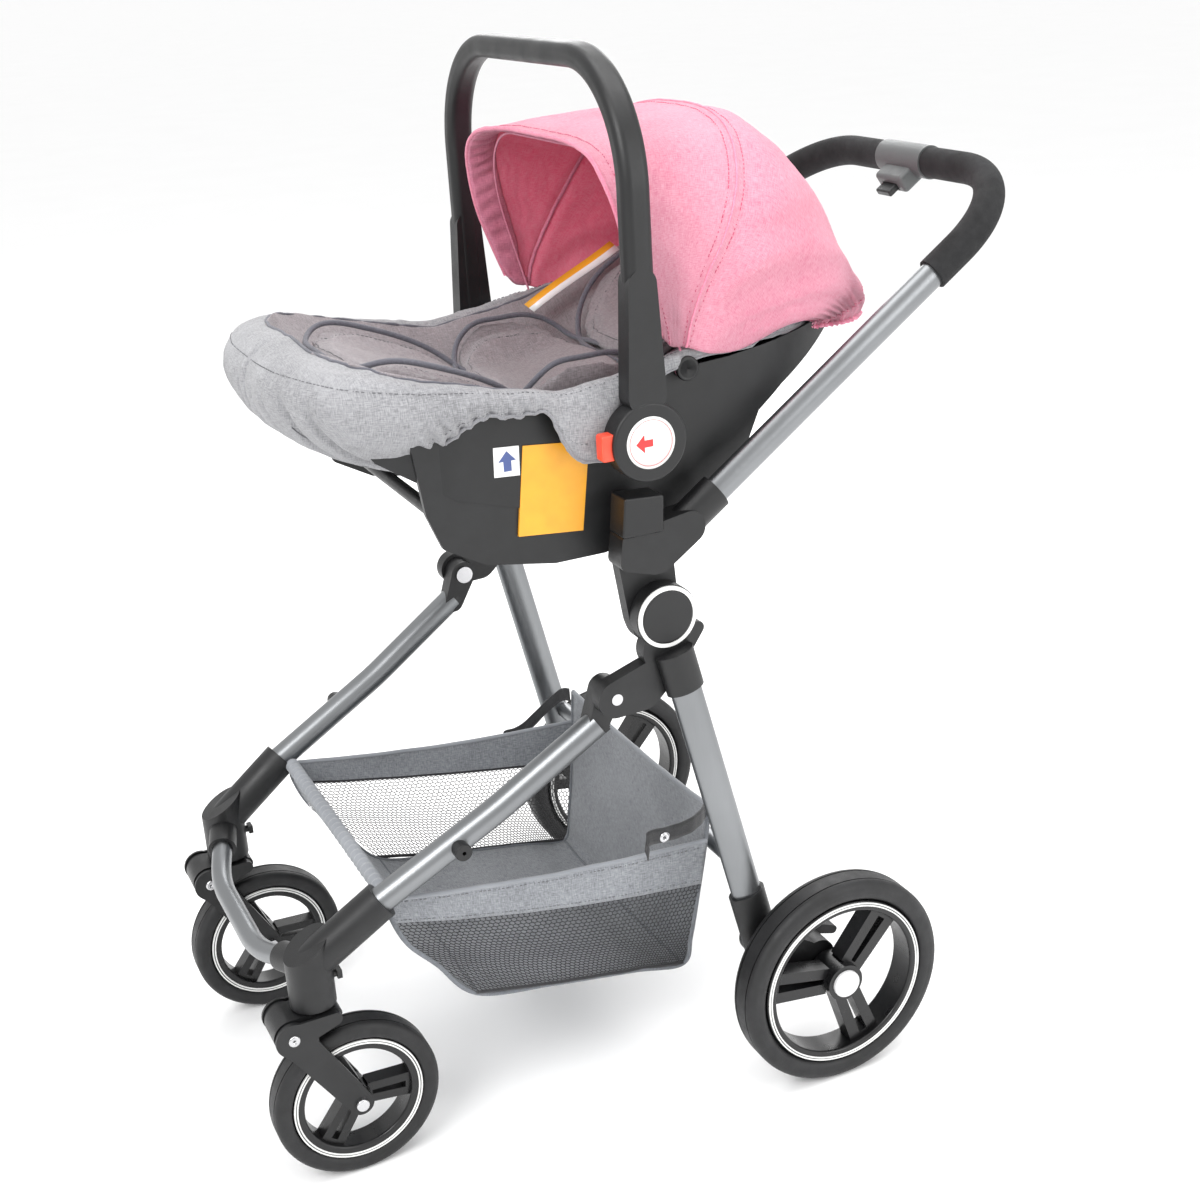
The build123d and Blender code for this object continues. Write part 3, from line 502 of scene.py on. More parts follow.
def stitches(name, points, material, length=0.0032, gap=0.0018, radius=0.00045):
    """A line of thread stitches that follows the points."""
    marks, verts, faces, run = [], [], [], 0.0
    for a, b in zip(points, points[1:]):
        step = (b - a).length
        at = (length + gap) - run
        while at <= step:
            marks.append((a.lerp(b, max(0.0, at - length) / step), a.lerp(b, at / step)))
            at += length + gap
        run = step - (at - length - gap)
    for a, b in marks:
        along_it = (b - a).normalized()
        side = along_it.orthogonal().normalized() * radius
        up = along_it.cross(side)
        base = len(verts)
        for centre in (a, b):
            verts += [centre + side, centre + up, centre - side, centre - up]
        for k in range(4):
            faces.append((base + k, base + (k + 1) % 4, base + 4 + (k + 1) % 4, base + 4 + k))
        faces.append((base + 3, base + 2, base + 1, base))
        faces.append((base + 4, base + 5, base + 6, base + 7))
    return mesh_piece(name, verts, faces, material)


# ---------------------------------------------------------------- canopy
CANOPY_PLACES = (0.0, 0.2, 0.4, 0.52, 0.68, 0.84, 0.96, 1.0)
CANOPY_MM = (
    ((193, 17, 829), (193, 2, 868), (191, -12, 908), (186, -20, 948), (170, -25, 978), (138, -24, 997),
     (75, -19, 1004), (0, -17, 1004)),
    ((193, 28, 817), (193, 28, 868), (191, 26, 915), (185, 30, 957), (167, 38, 986), (130, 46, 1004),
     (70, 52, 1011), (0, 53, 1012)),
    ((192, 43, 814), (192, 51, 842), (190, 69, 878), (186, 95, 920), (168, 117, 962), (126, 134, 999),
     (65, 145, 1015), (0, 149, 1018)),
    ((190, 72, 803), (189, 92, 838), (187, 115, 872), (181, 142, 905), (163, 165, 944), (124, 183, 980),
     (64, 194, 1001), (0, 197, 1005)),
    ((186, 107, 801), (184, 130, 826), (180, 158, 850), (170, 190, 880), (148, 215, 908), (110, 233, 935),
     (57, 244, 953), (0, 247, 957)),
    ((178, 160, 811), (175, 180, 822), (168, 210, 833), (152, 243, 848), (126, 267, 861), (92, 283, 872),
     (48, 293, 880), (0, 296, 882)),
    ((160, 205, 812), (155, 222, 812), (145, 250, 812), (130, 276, 812), (106, 298, 813), (76, 314, 815),
     (40, 324, 817), (0, 327, 818)),
    ((157, 203, 805), (152, 222, 803), (143, 250, 800), (128, 276, 799), (104, 297, 799), (74, 312, 800),
     (38, 321, 801), (0, 324, 801)),
)
CANOPY_ROWS, CANOPY_COLUMNS = 161, 161
CANOPY_SEAM = 0.4
CANOPY_ARC = 0.66
THREAD_LIFT = 0.0004


def hood(piece):
    """Bakes a canopy piece's placement into its mesh; the piece stays where it is built."""
    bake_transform(piece)


def normals_of(rows):
    """Outward unit normals of a grid of points."""
    out = []
    for i, row in enumerate(rows):
        up, down = rows[max(0, i - 1)], rows[min(len(rows) - 1, i + 1)]
        line = []
        for j in range(len(row)):
            across = row[min(len(row) - 1, j + 1)] - row[max(0, j - 1)]
            line.append(across.cross(down[j] - up[j]).normalized())
        out.append(line)
    return out


def canopy_relief(t, j):
    """Height of the canopy's seams, creases and gathers, at t from front to hem on column j."""
    s = j / (CANOPY_COLUMNS - 1)
    arc = (j - CANOPY_COLUMNS // 2) * CANOPY_ARC / (CANOPY_COLUMNS - 1)
    ridge = 0.0024 * math.exp(-(((t - CANOPY_SEAM) / 0.016) ** 2))
    valley = -0.0011 * math.exp(-(((t - CANOPY_SEAM - 0.036) / 0.02) ** 2))
    front = smoothstep(0.05, 0.1, t) * (1 - smoothstep(0.34, 0.39, t))
    fine = 0.0022 * front * (noise.noise(Vector((arc * 46.0, t * 2.2, 3.0))) + 0.2)
    rear = smoothstep(0.43, 0.55, t) * (1 - smoothstep(0.9, 0.99, t))
    side = min(s, 1 - s) * 2
    slant = noise.noise(Vector((side * 4.6 - t * 4.2, t * 1.4 + side, 7.0 + (s > 0.5) * 3)))
    folds = 0.0135 * rear * slant * (1 - 0.55 * smoothstep(0.45, 1.0, side))
    hem = smoothstep(0.84, 0.985, t)
    wobble = 1.3 * noise.noise(Vector((arc * 30.0, 1.0, 5.0)))
    gathers = 0.0038 * hem * math.sin(2 * math.pi * arc / 0.0135 + 2 * wobble)
    roll = 0.0035 * math.exp(-(((t - 0.95) / 0.03) ** 2))
    cloth = 0.0007 * noise.noise(Vector((arc * 110.0, t * 34.0, 9.0)))
    return ridge + valley + fine + folds + gathers + roll + cloth


def arc_point(rows, normals, j, distance, lift):
    """A point on column j, a distance back from the front edge, lifted off the sheet."""
    run = 0.0
    for i in range(1, len(rows)):
        step = (rows[i][j] - rows[i - 1][j]).length
        if run + step >= distance:
            place = rows[i - 1][j].lerp(rows[i][j], (distance - run) / step)
            return place + normals[i][j] * lift
        run += step
    return rows[-1][j]


def make_canopy():
    """The gathered hood: one sheet with a raised mid seam, lined inside with a pink painted darker and more
    saturated as shade, and an elastic rear hem.
    """
    half_rows = [[mm(*p) for p in row] for row in CANOPY_MM]
    smooth = loft_rows(CANOPY_PLACES, half_rows, CANOPY_ROWS, CANOPY_COLUMNS)
    normals = normals_of(smooth)
    rows = []
    for i, row in enumerate(smooth):
        t = i / (CANOPY_ROWS - 1)
        rows.append([p + normals[i][j] * canopy_relief(t, j) for j, p in enumerate(row)])
    sheet = mesh_piece("canopy_sheet", flatten(rows), grid_faces(CANOPY_ROWS, CANOPY_COLUMNS),
                       MATERIALS["canopy_fabric"], SHADED_LINING)
    cloth_uv(sheet, rows)
    solidify(sheet, 0.0016, -1.0, 1)
    hood(sheet)
    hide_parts("canopy")
    outer = normals_of(rows)
    columns = range(CANOPY_COLUMNS)

    def lifted(i, lift):
        return [rows[i][j] + outer[i][j] * lift for j in columns]

    front = [arc_point(rows, outer, j, 0.0135, THREAD_LIFT) for j in columns]
    seam = round(CANOPY_SEAM * (CANOPY_ROWS - 1))
    trims = [
        tube("canopy_front_roll", rows[0], 0.0023, PINK_EDGE),
        stitches("canopy_front_stitch", front, PINK_THREAD),
        stitches("canopy_seam_stitch_0", lifted(seam - 3, THREAD_LIFT), PINK_THREAD),
        stitches("canopy_seam_stitch_1", lifted(seam + 4, THREAD_LIFT), PINK_THREAD),
        tube("canopy_seam_cord", lifted(seam, 0.0002), 0.0013, PINK_EDGE),
        tube("canopy_hem_roll", rows[-1], 0.0024, PINK_EDGE),
        stitches("canopy_hem_stitch", lifted(CANOPY_ROWS - 9, THREAD_LIFT), PINK_THREAD),
        make_facing(rows, outer),
        # The inner binding wears the facing cloth, darkened as painted shade.
        tube("canopy_inner_binding", lifted(seam, -0.003), 0.0022, SHADED_FACING),
    ]
    for piece in trims:
        hood(piece)


def make_facing(rows, outer):
    """The puckered band sewn inside the canopy's front edge, which holds the wire bow; its cloth is a darker
    pink, painted shade of the hood's inside.
    """
    depth, width = 11, 0.034
    band = []
    for i in range(depth):
        d = width * i / (depth - 1)
        bulge = math.sin(math.pi * i / (depth - 1)) ** 0.6
        line = []
        for j in range(CANOPY_COLUMNS):
            pucker = 0.0014 * math.sin(j * 1.35 + 1.5 * noise.noise(Vector((j * 0.2, 0, 1)))) * bulge
            line.append(arc_point(rows, outer, j, d, -0.0022 - 0.0024 * bulge - pucker))
        band.append(line)
    piece = mesh_piece("canopy_facing", flatten(band), grid_faces(depth, CANOPY_COLUMNS), SHADED_FACING)
    cloth_uv(piece, band)
    return solidify(piece, 0.001)


# ---------------------------------------------------------------- rim pad and liner
# Each row: crown, upper outside, widest, lower outside, low edge.
PAD_MM = (
    ((0, -292, 838), (0, -326, 834), (0, -345, 802), (0, -314, 752), (0, -222, 712)),
    ((80, -290, 838), (82, -322, 835), (84, -341, 804), (82, -306, 752), (80, -222, 712)),
    ((140, -268, 834), (154, -292, 830), (162, -302, 800), (156, -272, 756), (138, -214, 724)),
    ((172, -222, 820), (184, -236, 820), (192, -244, 797), (188, -230, 772), (172, -204, 752)),
    ((176, -170, 806), (190, -176, 809), (201, -178, 796), (201, -177, 787), (197, -174, 779)),
    ((176, -135, 797), (190, -136, 800), (201, -138, 790), (202, -138, 783), (199, -138, 776)),
    ((176, -110, 791), (189, -110, 795), (199, -109, 786), (201, -109, 780), (199, -109, 774)),
    ((176, -95, 788), (189, -95, 792), (199, -95, 781), (201, -96, 768), (200, -97, 748)),
    ((176, -79, 786), (189, -79, 791), (199, -80, 779), (202, -82, 757), (202, -83, 725)),
    ((177, -62, 788), (190, -62, 793), (199, -62, 782), (202, -63, 757), (202, -64, 720)),
    ((177, -46, 790), (191, -46, 795), (199, -46, 784), (202, -47, 757), (201, -48, 722)),
    ((178, -26, 793), (191, -26, 798), (199, -26, 792), (202, -26, 787), (200, -26, 782)),
    ((178, 0, 796), (190, 0, 801), (198, 0, 797), (201, 0, 792), (199, 0, 786)),
    ((174, 51, 810), (182, 52, 813), (186, 53, 809), (187, 53, 802), (186, 53, 795)),
    ((165, 96, 830), (175, 99, 827), (181, 104, 818), (183, 106, 808), (182, 107, 797)),
    ((155, 142, 851), (166, 147, 845), (174, 152, 829), (176, 154, 815), (175, 155, 803)),
    ((138, 190, 864), (150, 197, 857), (158, 200, 838), (160, 200, 818), (160, 198, 804)),
    ((105, 238, 872), (122, 251, 863), (137, 250, 838), (142, 248, 820), (143, 245, 806)),
    ((55, 266, 876), (72, 284, 864), (90, 294, 838), (96, 293, 820), (97, 291, 806)),
    ((0, 272, 876), (0, 298, 866), (0, 312, 842), (0, 314, 820), (0, 312, 806)),
)
PAD_AROUND = 168
PAD_SIDES = 32
PLEATS_AT = (0.022, 0.062, 0.1, 0.134)
PLEAT_LEAN = 0.05
PLEAT_FOOT_Z = 0.75


def pad_section(s):
    """The pad's five outer points at s round the rim, 0 at the front and 1 at the rear, on the left."""
    return [hermite(even_keys([mm(*row[k]) for row in PAD_MM]), s) for k in range(5)]


def inward(p, distance, rise):
    """The point moved towards the bowl's middle by a distance, and up by a rise."""
    flat = Vector((-p.x, -0.02 - p.y, 0.0))
    return p + flat.normalized() * distance + Vector((0, 0, rise))


def pad_ring(s, mirror_it):
    """The pad's closed section at s round the rim, on the left or mirrored to the right."""
    crown, high, wide, lower, low = pad_section(s)
    foot = 1 - smoothstep(0.1, 0.2, s)
    back = inward(low, 0.012 - 0.01 * foot, 0.006 + 0.012 * foot)
    if foot > 0.5:
        middle = lower.lerp(low, 0.5) + Vector((0, 0.0, 0.02))
    else:
        middle = wide.lerp(lower, 0.5) + (inward(wide, 0.014, 0) - wide)
    inner = inward(crown, 0.003, -0.013)
    keys = even_keys([crown, high, wide, lower, low, back, middle, inner, crown])
    ring = [hermite(keys, k / PAD_SIDES) for k in range(PAD_SIDES)]
    return [other_side(p) for p in ring][::-1] if mirror_it else ring


def rim_line(k):
    """A closed line round the pad through one of the section's points."""
    left = [pad_section(i / PAD_AROUND)[k] for i in range(PAD_AROUND + 1)]
    return left + [other_side(p) for p in left[-2:0:-1]]


def pad_relief(p):
    """Pleats under the foot roll, gathers along both sides and loose wrinkles."""
    x = abs(p.x)
    foot = 1 - smoothstep(-0.26, -0.2, p.y)
    lower = 1 - smoothstep(0.785, 0.815, p.z)
    pleats = 0.0
    for at in PLEATS_AT:
        off = x - at - PLEAT_LEAN * (p.z - PLEAT_FOOT_Z)
        pleats -= 0.0062 * math.exp(-((off / 0.0048) ** 2))
    side = smoothstep(-0.245, -0.21, p.y) * (1 - smoothstep(-0.13, -0.1, p.y))
    side *= 1 - smoothstep(0.785, 0.8, p.z)
    slant = (p.y + p.z * 0.55) * 2 * math.pi / 0.016
    gathers = 0.0022 * side * math.sin(slant + 1.2 * noise.noise(p * 60.0))
    loose = 0.0019 * noise.noise(p * 26.0) + 0.0008 * noise.noise(p * 70.0)
    return pleats * foot * lower + gathers + loose


def make_rim_pad():
    """The padded cover round the shell's rim, with its piping, binding, seams and darts."""
    rings = [pad_ring(i / PAD_AROUND, False) for i in range(PAD_AROUND + 1)]
    for i in range(PAD_AROUND - 1, 0, -1):
        ring = pad_ring(i / PAD_AROUND, True)
        rings.append([ring[-1]] + ring[:-1])
    faces = grid_faces(len(rings), PAD_SIDES, True, True)
    pad = mesh_piece("rim_pad_cover", flatten(rings), faces, MATERIALS["pad_fabric"])
    inflate(pad, 0.005, 0.0045, 3.0)
    displace(pad, pad_relief)
    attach(pad, "carrier")
    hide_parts("rim_pad")
    tree = surface_of(pad)
    crown = [on_surface(tree, p + Vector((0, 0, 0.001)), 0.0004) for p in rim_line(0)]
    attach(tube("rim_pad_crown_piping", crown, 0.0019, PIPING, closed=True), "carrier")
    low = [on_surface(tree, p, 0.0002) for p in rim_line(4)]
    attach(tube("rim_pad_edge_binding", low, 0.0021, PAD_BINDING, closed=True), "carrier")
    for name, a, b, share in (("upper", 1, 2, 0.35), ("lower", 3, 4, 0.45)):
        between = [p.lerp(q, share) for p, q in zip(rim_line(a), rim_line(b))]
        line = [on_surface(tree, p, 0.0004) for p in between]
        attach(stitches(f"rim_pad_{name}_stitch", line, THREAD), "carrier")
    for at in PLEATS_AT[:3]:
        for sign, side in SIDES:
            line = []
            for k in range(12):
                z = 0.722 + 0.0046 * k
                x = sign * (at + PLEAT_LEAN * (z - PLEAT_FOOT_Z))
                line.append(on_surface(tree, Vector((x, -0.27 - 0.0052 * k, z)), 0.0003))
            dart = tube(f"rim_pad_dart_{round(at * 1000)}_{side}", line, 0.0006, THREAD)
            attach(dart, "carrier")


FLOOR_MM = ((-291, 834), (-280, 816), (-262, 806), (-196, 776), (-122, 752), (-30, 738), (40, 756), (60, 770),
            (150, 818), (240, 852), (262, 862), (271, 872))
CROWN_MM = ((-291, 80, 838), (-268, 140, 834), (-222, 172, 820), (-170, 176, 806), (-110, 176, 791),
            (-79, 176, 786), (-46, 177, 790), (0, 178, 796), (51, 174, 810), (96, 165, 830), (142, 155, 851),
            (190, 138, 864), (238, 105, 872), (266, 55, 876), (271, 12, 876))
LINER_ROWS, LINER_COLUMNS = 97, 65


def floor_height(y):
    return hermite([(a * MM, b * MM) for a, b in FLOOR_MM], y)


def crown_at(y):
    return hermite([(a * MM, Vector((b * MM, c * MM))) for a, b, c in CROWN_MM], y)


def make_liner():
    """The warm grey lining of the carrier's bowl, from the crown seam down under the cushions."""
    rows = []
    for i in range(LINER_ROWS):
        y = lerp(-0.291, 0.271, i / (LINER_ROWS - 1))
        edge = crown_at(y)
        low = floor_height(y) - 0.004
        keys = even_keys([Vector((edge.x * a, y, lerp(low, edge.y + 0.001, b))) for a, b in (
            (1.0, 1.0), (0.955, 0.86), (0.86, 0.56), (0.7, 0.24), (0.48, 0.05), (0.25, 0.0), (0.0, 0.0))])
        half = [hermite(keys, k / 32) for k in range(33)]
        row = [other_side(p) for p in half] + half[-2::-1]
        rows.append([p + Vector((0, 0, 0.0016 * noise.noise(p * 34.0))) for p in row])
    liner = mesh_piece("bowl_liner", flatten(rows), grid_faces(LINER_ROWS, LINER_COLUMNS),
                       MATERIALS["cushion_fabric"])
    solidify(liner, 0.003, -1.0)
    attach(liner, "carrier")


# ---------------------------------------------------------------- cushions
CUSHION_BEND_AT = 0.060
CUSHION_BEND_R = 0.060


def on_bowl(s, y, lift):
    """A point s across the bowl from its middle line, at y, lifted off its surface."""
    a = abs(s)
    if a <= CUSHION_BEND_AT:
        x, z, angle = a, 0.0, 0.0
    else:
        angle = min((a - CUSHION_BEND_AT) / CUSHION_BEND_R, 1.35)
        rest = a - CUSHION_BEND_AT - angle * CUSHION_BEND_R
        x = CUSHION_BEND_AT + CUSHION_BEND_R * math.sin(angle) + rest * math.cos(angle)
        z = CUSHION_BEND_R * (1 - math.cos(angle)) + rest * math.sin(angle)
    x -= lift * math.sin(angle)
    z += lift * math.cos(angle)
    return Vector((math.copysign(x, s), y, floor_height(y) + z))


CUSHIONS = {
    "leg_cushion": dict(front=-0.262, rear=-0.076, half=0.130, apex=-0.185),
    "seat_cushion": dict(front=-0.098, rear=0.052, half=0.152, apex=-0.035),
    "head_cushion": dict(front=0.046, rear=0.262, half=0.136, apex=0.12),
}
CUSHION_T = 0.017
ROUNDNESS = 0.74
CUSHION_LINE_POINTS = 192


def cushion_point(shape, r, angle):
    """A point (s, y) of a cushion's outline scaled by r; its wings are highest at the apex."""
    c, s = math.cos(angle), math.sin(angle)
    across = math.copysign(abs(c) ** ROUNDNESS, c) * shape["half"] * r
    length = math.copysign(abs(s) ** ROUNDNESS, s) * r
    reach = shape["rear"] - shape["apex"] if length > 0 else shape["apex"] - shape["front"]
    return across, shape["apex"] + length * reach


def cushion_line(shape, r, lift, count):
    """Points round a cushion's outline scaled by r, lifted off the bowl."""
    turns = [2 * math.pi * k / CUSHION_LINE_POINTS for k in range(count)]
    return [on_bowl(*cushion_point(shape, r, a), lift) for a in turns]


def make_cushion(name, shape):
    """A stuffed cushion on the bowl, with piping round its edge and a seam inside it."""
    rings, around = 22, 96
    sides = []
    for top in (True, False):
        points = []
        for i in range(rings):
            r = i / (rings - 1)
            swell = math.sqrt(max(0.0, 1 - r ** 5))
            lift = CUSHION_T * (0.5 + 0.5 * swell) if top else CUSHION_T * 0.5 * (1 - swell)
            for k in range(around):
                s, y = cushion_point(shape, max(r, 0.002), 2 * math.pi * k / around)
                points.append(on_bowl(s, y, lift))
        sides.append(points)
    count = rings * around
    faces = [f[::-1] for f in grid_faces(rings, around, False, True)]
    faces += [tuple(v + count for v in f) for f in grid_faces(rings, around, False, True)]
    faces.append(tuple(range(around)))
    faces.append(tuple(range(count, count + around))[::-1])
    for k in range(around):
        a, b = (rings - 1) * around + k, (rings - 1) * around + (k + 1) % around
        faces.append((a, b, b + count, a + count))
    pad = mesh_piece(f"{name}_cover", sides[0] + sides[1], faces, MATERIALS["cushion_fabric"])
    inflate(pad, 0.0045, 0.005, 4.0)
    displace(pad, lambda p: 0.0015 * noise.noise(p * 24.0) + 0.0006 * noise.noise(p * 80.0))
    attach(pad, "carrier")
    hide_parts(name)
    line = cushion_line(shape, 1.015, CUSHION_T * 0.62, CUSHION_LINE_POINTS)
    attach(tube(f"{name}_piping", line, 0.0030, PIPING, closed=True), "carrier")
    tree = surface_of(pad)
    above = cushion_line(shape, 0.93, CUSHION_T * 1.5, CUSHION_LINE_POINTS + 1)
    inner = [on_surface(tree, p, 0.0003) for p in above]
    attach(stitches(f"{name}_stitch", inner, THREAD), "carrier")


def rounded_plate(name, half, centre, material):
    """A block with rounded edges."""
    ends = (-1, 1)
    points = [Vector((x * half[0], y * half[1], z * half[2])) for x in ends for y in ends for z in ends]
    faces = [(0, 1, 3, 2), (4, 6, 7, 5), (0, 4, 5, 1), (2, 3, 7, 6), (0, 2, 6, 4), (1, 5, 7, 3)]
    obj = mesh_piece(name, [centre + p for p in points], faces, material)
    bevel = obj.modifiers.new("Bevel", "BEVEL")
    bevel.width = min(half) * 0.6
    bevel.segments = 3
    return applied(obj)


WEB_MM = ((-70, 703), (-20, 704), (20, 712), (86, 742), (150, 770))
WEB_STEPS = 40


def make_harness():
    """Two shoulder webs stowed under the cushions, with their buckle."""
    for x, side in ((-0.0425, "right"), (0.0425, "left")):
        keys = even_keys([Vector((x, y * MM, z * MM)) for y, z in WEB_MM])
        rows = []
        for i in range(WEB_STEPS + 1):
            middle = hermite(keys, i / WEB_STEPS)
            ripple = 0.0004 * math.sin(i * 0.9)
            rows.append([middle + Vector((u, 0, ripple)) for u in (-0.0125, 0, 0.0125)])
        faces = grid_faces(WEB_STEPS + 1, 3)
        web = mesh_piece(f"shoulder_web_{side}", flatten(rows), faces, MATERIALS["webbing"])
        solidify(web, 0.0016)
        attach(web, "carrier")
    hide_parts("harness")
    buckle = rounded_plate("harness_buckle", (0.029, 0.02, 0.007), Vector((0.0, -0.084, 0.704)), CHARCOAL)
    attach(buckle, "carrier")


# ---------------------------------------------------------------- basket
# Points of (y, z) in the side view; BASKET_HALF_MM has the half width at each point of the path.
BASKET_PATH_MM = ((-308, 303), (-306, 278), (-291, 242), (-262, 206), (-219, 152), (-130, 133),
                  (-34, 117), (25, 106), (36, 140), (46, 200), (54, 262), (58, 302))
BASKET_HALF_MM = (176, 176, 174, 170, 163, 162, 162, 162, 164, 168, 174, 176)
FRONT_EDGE_MM = ((-219, 152), (-262, 206), (-291, 242), (-306, 278), (-308, 301))
REAR_EDGE_MM = ((25, 106), (36, 140), (46, 200), (54, 262))
BOTTOM_EDGE_MM = ((-219, 152), (-130, 133), (-34, 117), (25, 106))
LOW_FRONT, LOW_REAR = mm(-219, 152), mm(25, 106)
TOP_FRONT, TOP_REAR = mm(-308, 301), mm(54, 262)
CUFF_SHARE = 0.72
NET_PITCH = 0.0052
NET_ROW_SHARE = 0.866


def basket_half(z):
    return lerp(0.1625, 0.176, smoothstep(0.11, 0.28, z))


def basket_piece(piece):
    """A basket piece rides the rear frame, with a mesh of its own."""
    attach(piece, "rear_frame")
    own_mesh(piece)


def side_point(u, v, sign, lift=0.0):
    """A point of a side wall: u runs front to rear, v bottom to top."""
    front = hermite(even_keys([mm(*p) for p in FRONT_EDGE_MM]), v)
    rear = hermite(even_keys([mm(*p) for p in REAR_EDGE_MM]), v)
    bottom = hermite(even_keys([mm(*p) for p in BOTTOM_EDGE_MM]), u)
    top = TOP_FRONT.lerp(TOP_REAR, u) - Vector((0, 0.007 * math.sin(math.pi * u)))
    corners = (LOW_FRONT * ((1 - u) * (1 - v)) + LOW_REAR * (u * (1 - v))
               + TOP_FRONT * ((1 - u) * v) + TOP_REAR * (u * v))
    yz = front * (1 - u) + rear * u + bottom * (1 - v) + top * v - corners
    bulge = 0.005 * math.sin(math.pi * u) * math.sin(math.pi * v)
    bulge += 0.0012 * noise.noise(Vector((u * 9, v * 5, sign)))
    return Vector((sign * (basket_half(yz.y) + bulge + lift), yz.x, yz.y))


def wall_line(sign, v, steps, lift=0.0):
    """A line along a side wall at the height v, from front to rear."""
    return [side_point(i / steps, v, sign, lift) for i in range(steps + 1)]


def honeycomb(sign):
    """Hexagon cells over a side wall's lower part; returns points and faces."""
    length, height = 0.31, 0.118
    points, index, faces = [], {}, []
    radius = NET_PITCH / math.sqrt(3)
    for r in range(int(height / (NET_PITCH * NET_ROW_SHARE)) + 2):
        for c in range(int(length / NET_PITCH) + 2):
            cx = (c + 0.5 * (r % 2)) * NET_PITCH
            cy = r * NET_PITCH * NET_ROW_SHARE
            if cx > length or cy > height:
                continue
            face = []
            for k in range(6):
                a = math.radians(60 * k + 30)
                u = min(1.0, max(0.0, (cx + radius * math.cos(a)) / length))
                v = min(1.0, max(0.0, (cy + radius * math.sin(a)) / height))
                key = (round(u, 5), round(v, 5))
                if key not in index:
                    index[key] = len(points)
                    points.append(side_point(u, v * CUFF_SHARE, sign))
                if index[key] not in face:
                    face.append(index[key])
            if len(face) > 2:
                faces.append(face if sign > 0 else face[::-1])
    return points, faces


def make_net(sign, side):
    points, faces = honeycomb(sign)
    net = mesh_piece(f"basket_net_{side}", points, faces, NET)
    wire = net.modifiers.new("Wireframe", "WIREFRAME")
    wire.thickness = 0.0011
    wire.use_even_offset = False
    return applied(net)


def eyelet(name, centre):
    """A small pressed metal ring facing front and rear."""
    section = ((0.0045, 0.0012), (0.007, 0.0016), (0.0078, 0.0), (0.007, -0.0016), (0.0045, -0.0012),
               (0.0038, 0.0))
    points = []
    for i in range(32):
        a = 2 * math.pi * i / 32
        points += [centre + Vector((r * math.cos(a), d, r * math.sin(a))) for r, d in section]
    return mesh_piece(name, points, grid_faces(32, 6, True, True), MATERIALS["steel"])


def basket_side(sign, side, edge):
    """One side wall's net, cuff, stitches, rolls and bindings; edge is the tray's side edge."""
    cloth = MATERIALS["basket_fabric"]
    pieces = [make_net(sign, side)]
    heights = [lerp(CUFF_SHARE - 0.01, 1.0, k / 12) for k in range(13)]
    cuff = [wall_line(sign, v, 80, 0.0006) for v in heights]
    band = mesh_piece(f"basket_cuff_{side}", flatten(cuff), grid_faces(13, 81), cloth)
    cloth_uv(band, cuff)
    pieces.append(solidify(band, 0.0026))
    for k, v in enumerate((CUFF_SHARE + 0.02, 0.965)):
        line = wall_line(sign, v, 90, 0.0022)
        pieces.append(stitches(f"basket_cuff_stitch_{k}_{side}", line, THREAD))
    for name, line, radius, material in (
            ("cuff_roll", wall_line(sign, 1.0, 60, 0.0004), 0.0026, cloth),
            ("window_top", wall_line(sign, CUFF_SHARE, 60), 0.0018, BLACK_BINDING),
            ("piping", edge, 0.0027, BASKET_PIPING),
            ("window_bottom", wall_line(sign, 0.012, 40), 0.002, BLACK_BINDING)):
        pieces.append(tube(f"basket_{name}_{side}", line, radius, material))
    return pieces


def make_basket():
    """A cloth tray: front, floor and rear in one piece, net side walls with cloth cuffs."""
    halves = even_keys([h * MM for h in BASKET_HALF_MM])
    path = even_keys([mm(*p) for p in BASKET_PATH_MM])
    count, columns = 111, 49
    rows = []
    for i in range(count):
        t = i / (count - 1)
        yz, half = hermite(path, t), hermite(halves, t)
        flat = smoothstep(0.33, 0.4, t) * (1 - smoothstep(0.58, 0.64, t))
        row = []
        for j in range(columns):
            a = 2 * j / (columns - 1) - 1
            sag = 0.006 * flat * (1 - a * a)
            hang = 0.004 * (1 - flat) * (1 - a * a)
            crease = 0.0016 * noise.noise(Vector((a * 5, t * 22, 2.0)))
            row.append(Vector((a * half, yz.x + hang * (1 if t < 0.4 else -1), yz.y - sag + crease)))
        rows.append(row)
    cloth = MATERIALS["basket_fabric"]
    sheet = mesh_piece("basket_cloth", flatten(rows), grid_faces(count, columns), cloth)
    cloth_uv(sheet, rows)
    solidify(sheet, 0.0014)
    extras = []
    for sign, side in SIDES:
        edge = [Vector((sign * hermite(halves, t / 100), *hermite(path, t / 100))) for t in range(101)]
        extras += basket_side(sign, side, edge)
    for name, i in (("front", 40), ("rear", 70)):
        line = [p + Vector((0, 0, 0.0006)) for p in rows[i]]
        extras.append(tube(f"basket_seam_{name}", line, 0.0015, BASKET_PIPING))
    lip = [rows[0][0].lerp(rows[0][-1], k / 150) for k in range(151)]
    roll = tube("basket_front_lip", lip, 0.0072, cloth, sides=16)
    displace(roll, lambda p: 0.0011 * math.sin(p.x * 2 * math.pi / 0.011 + 2 * noise.noise(p * 40.0)))
    extras.append(roll)
    extras.append(tube("basket_rear_hem", rows[-1], 0.003, cloth))
    for x, side in ((-0.13, "right"), (0.13, "left")):
        for name, y, z in (("front", -0.3, 0.268), ("rear", 0.0565, 0.28)):
            extras.append(eyelet(f"basket_eyelet_{name}_{side}", Vector((x, y, z))))
    basket_piece(sheet)
    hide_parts("basket")
    for piece in extras:
        basket_piece(piece)


STRAP_MM = ((176, 53, 299), (188, 42, 300), (199, 22, 300), (202, -4, 300), (202, -26, 301),
            (202, -31, 295), (202, -29, 281))
STRAP_STEPS = 60
FAR_STRAP_DROOP = 0.05
SNAP_PROFILE = ((0.0, 0.001), (0.0026, 0.001), (0.0026, 0.0048), (0.0014, 0.0062), (0.0, 0.0062))
SNAP_X = 0.2032


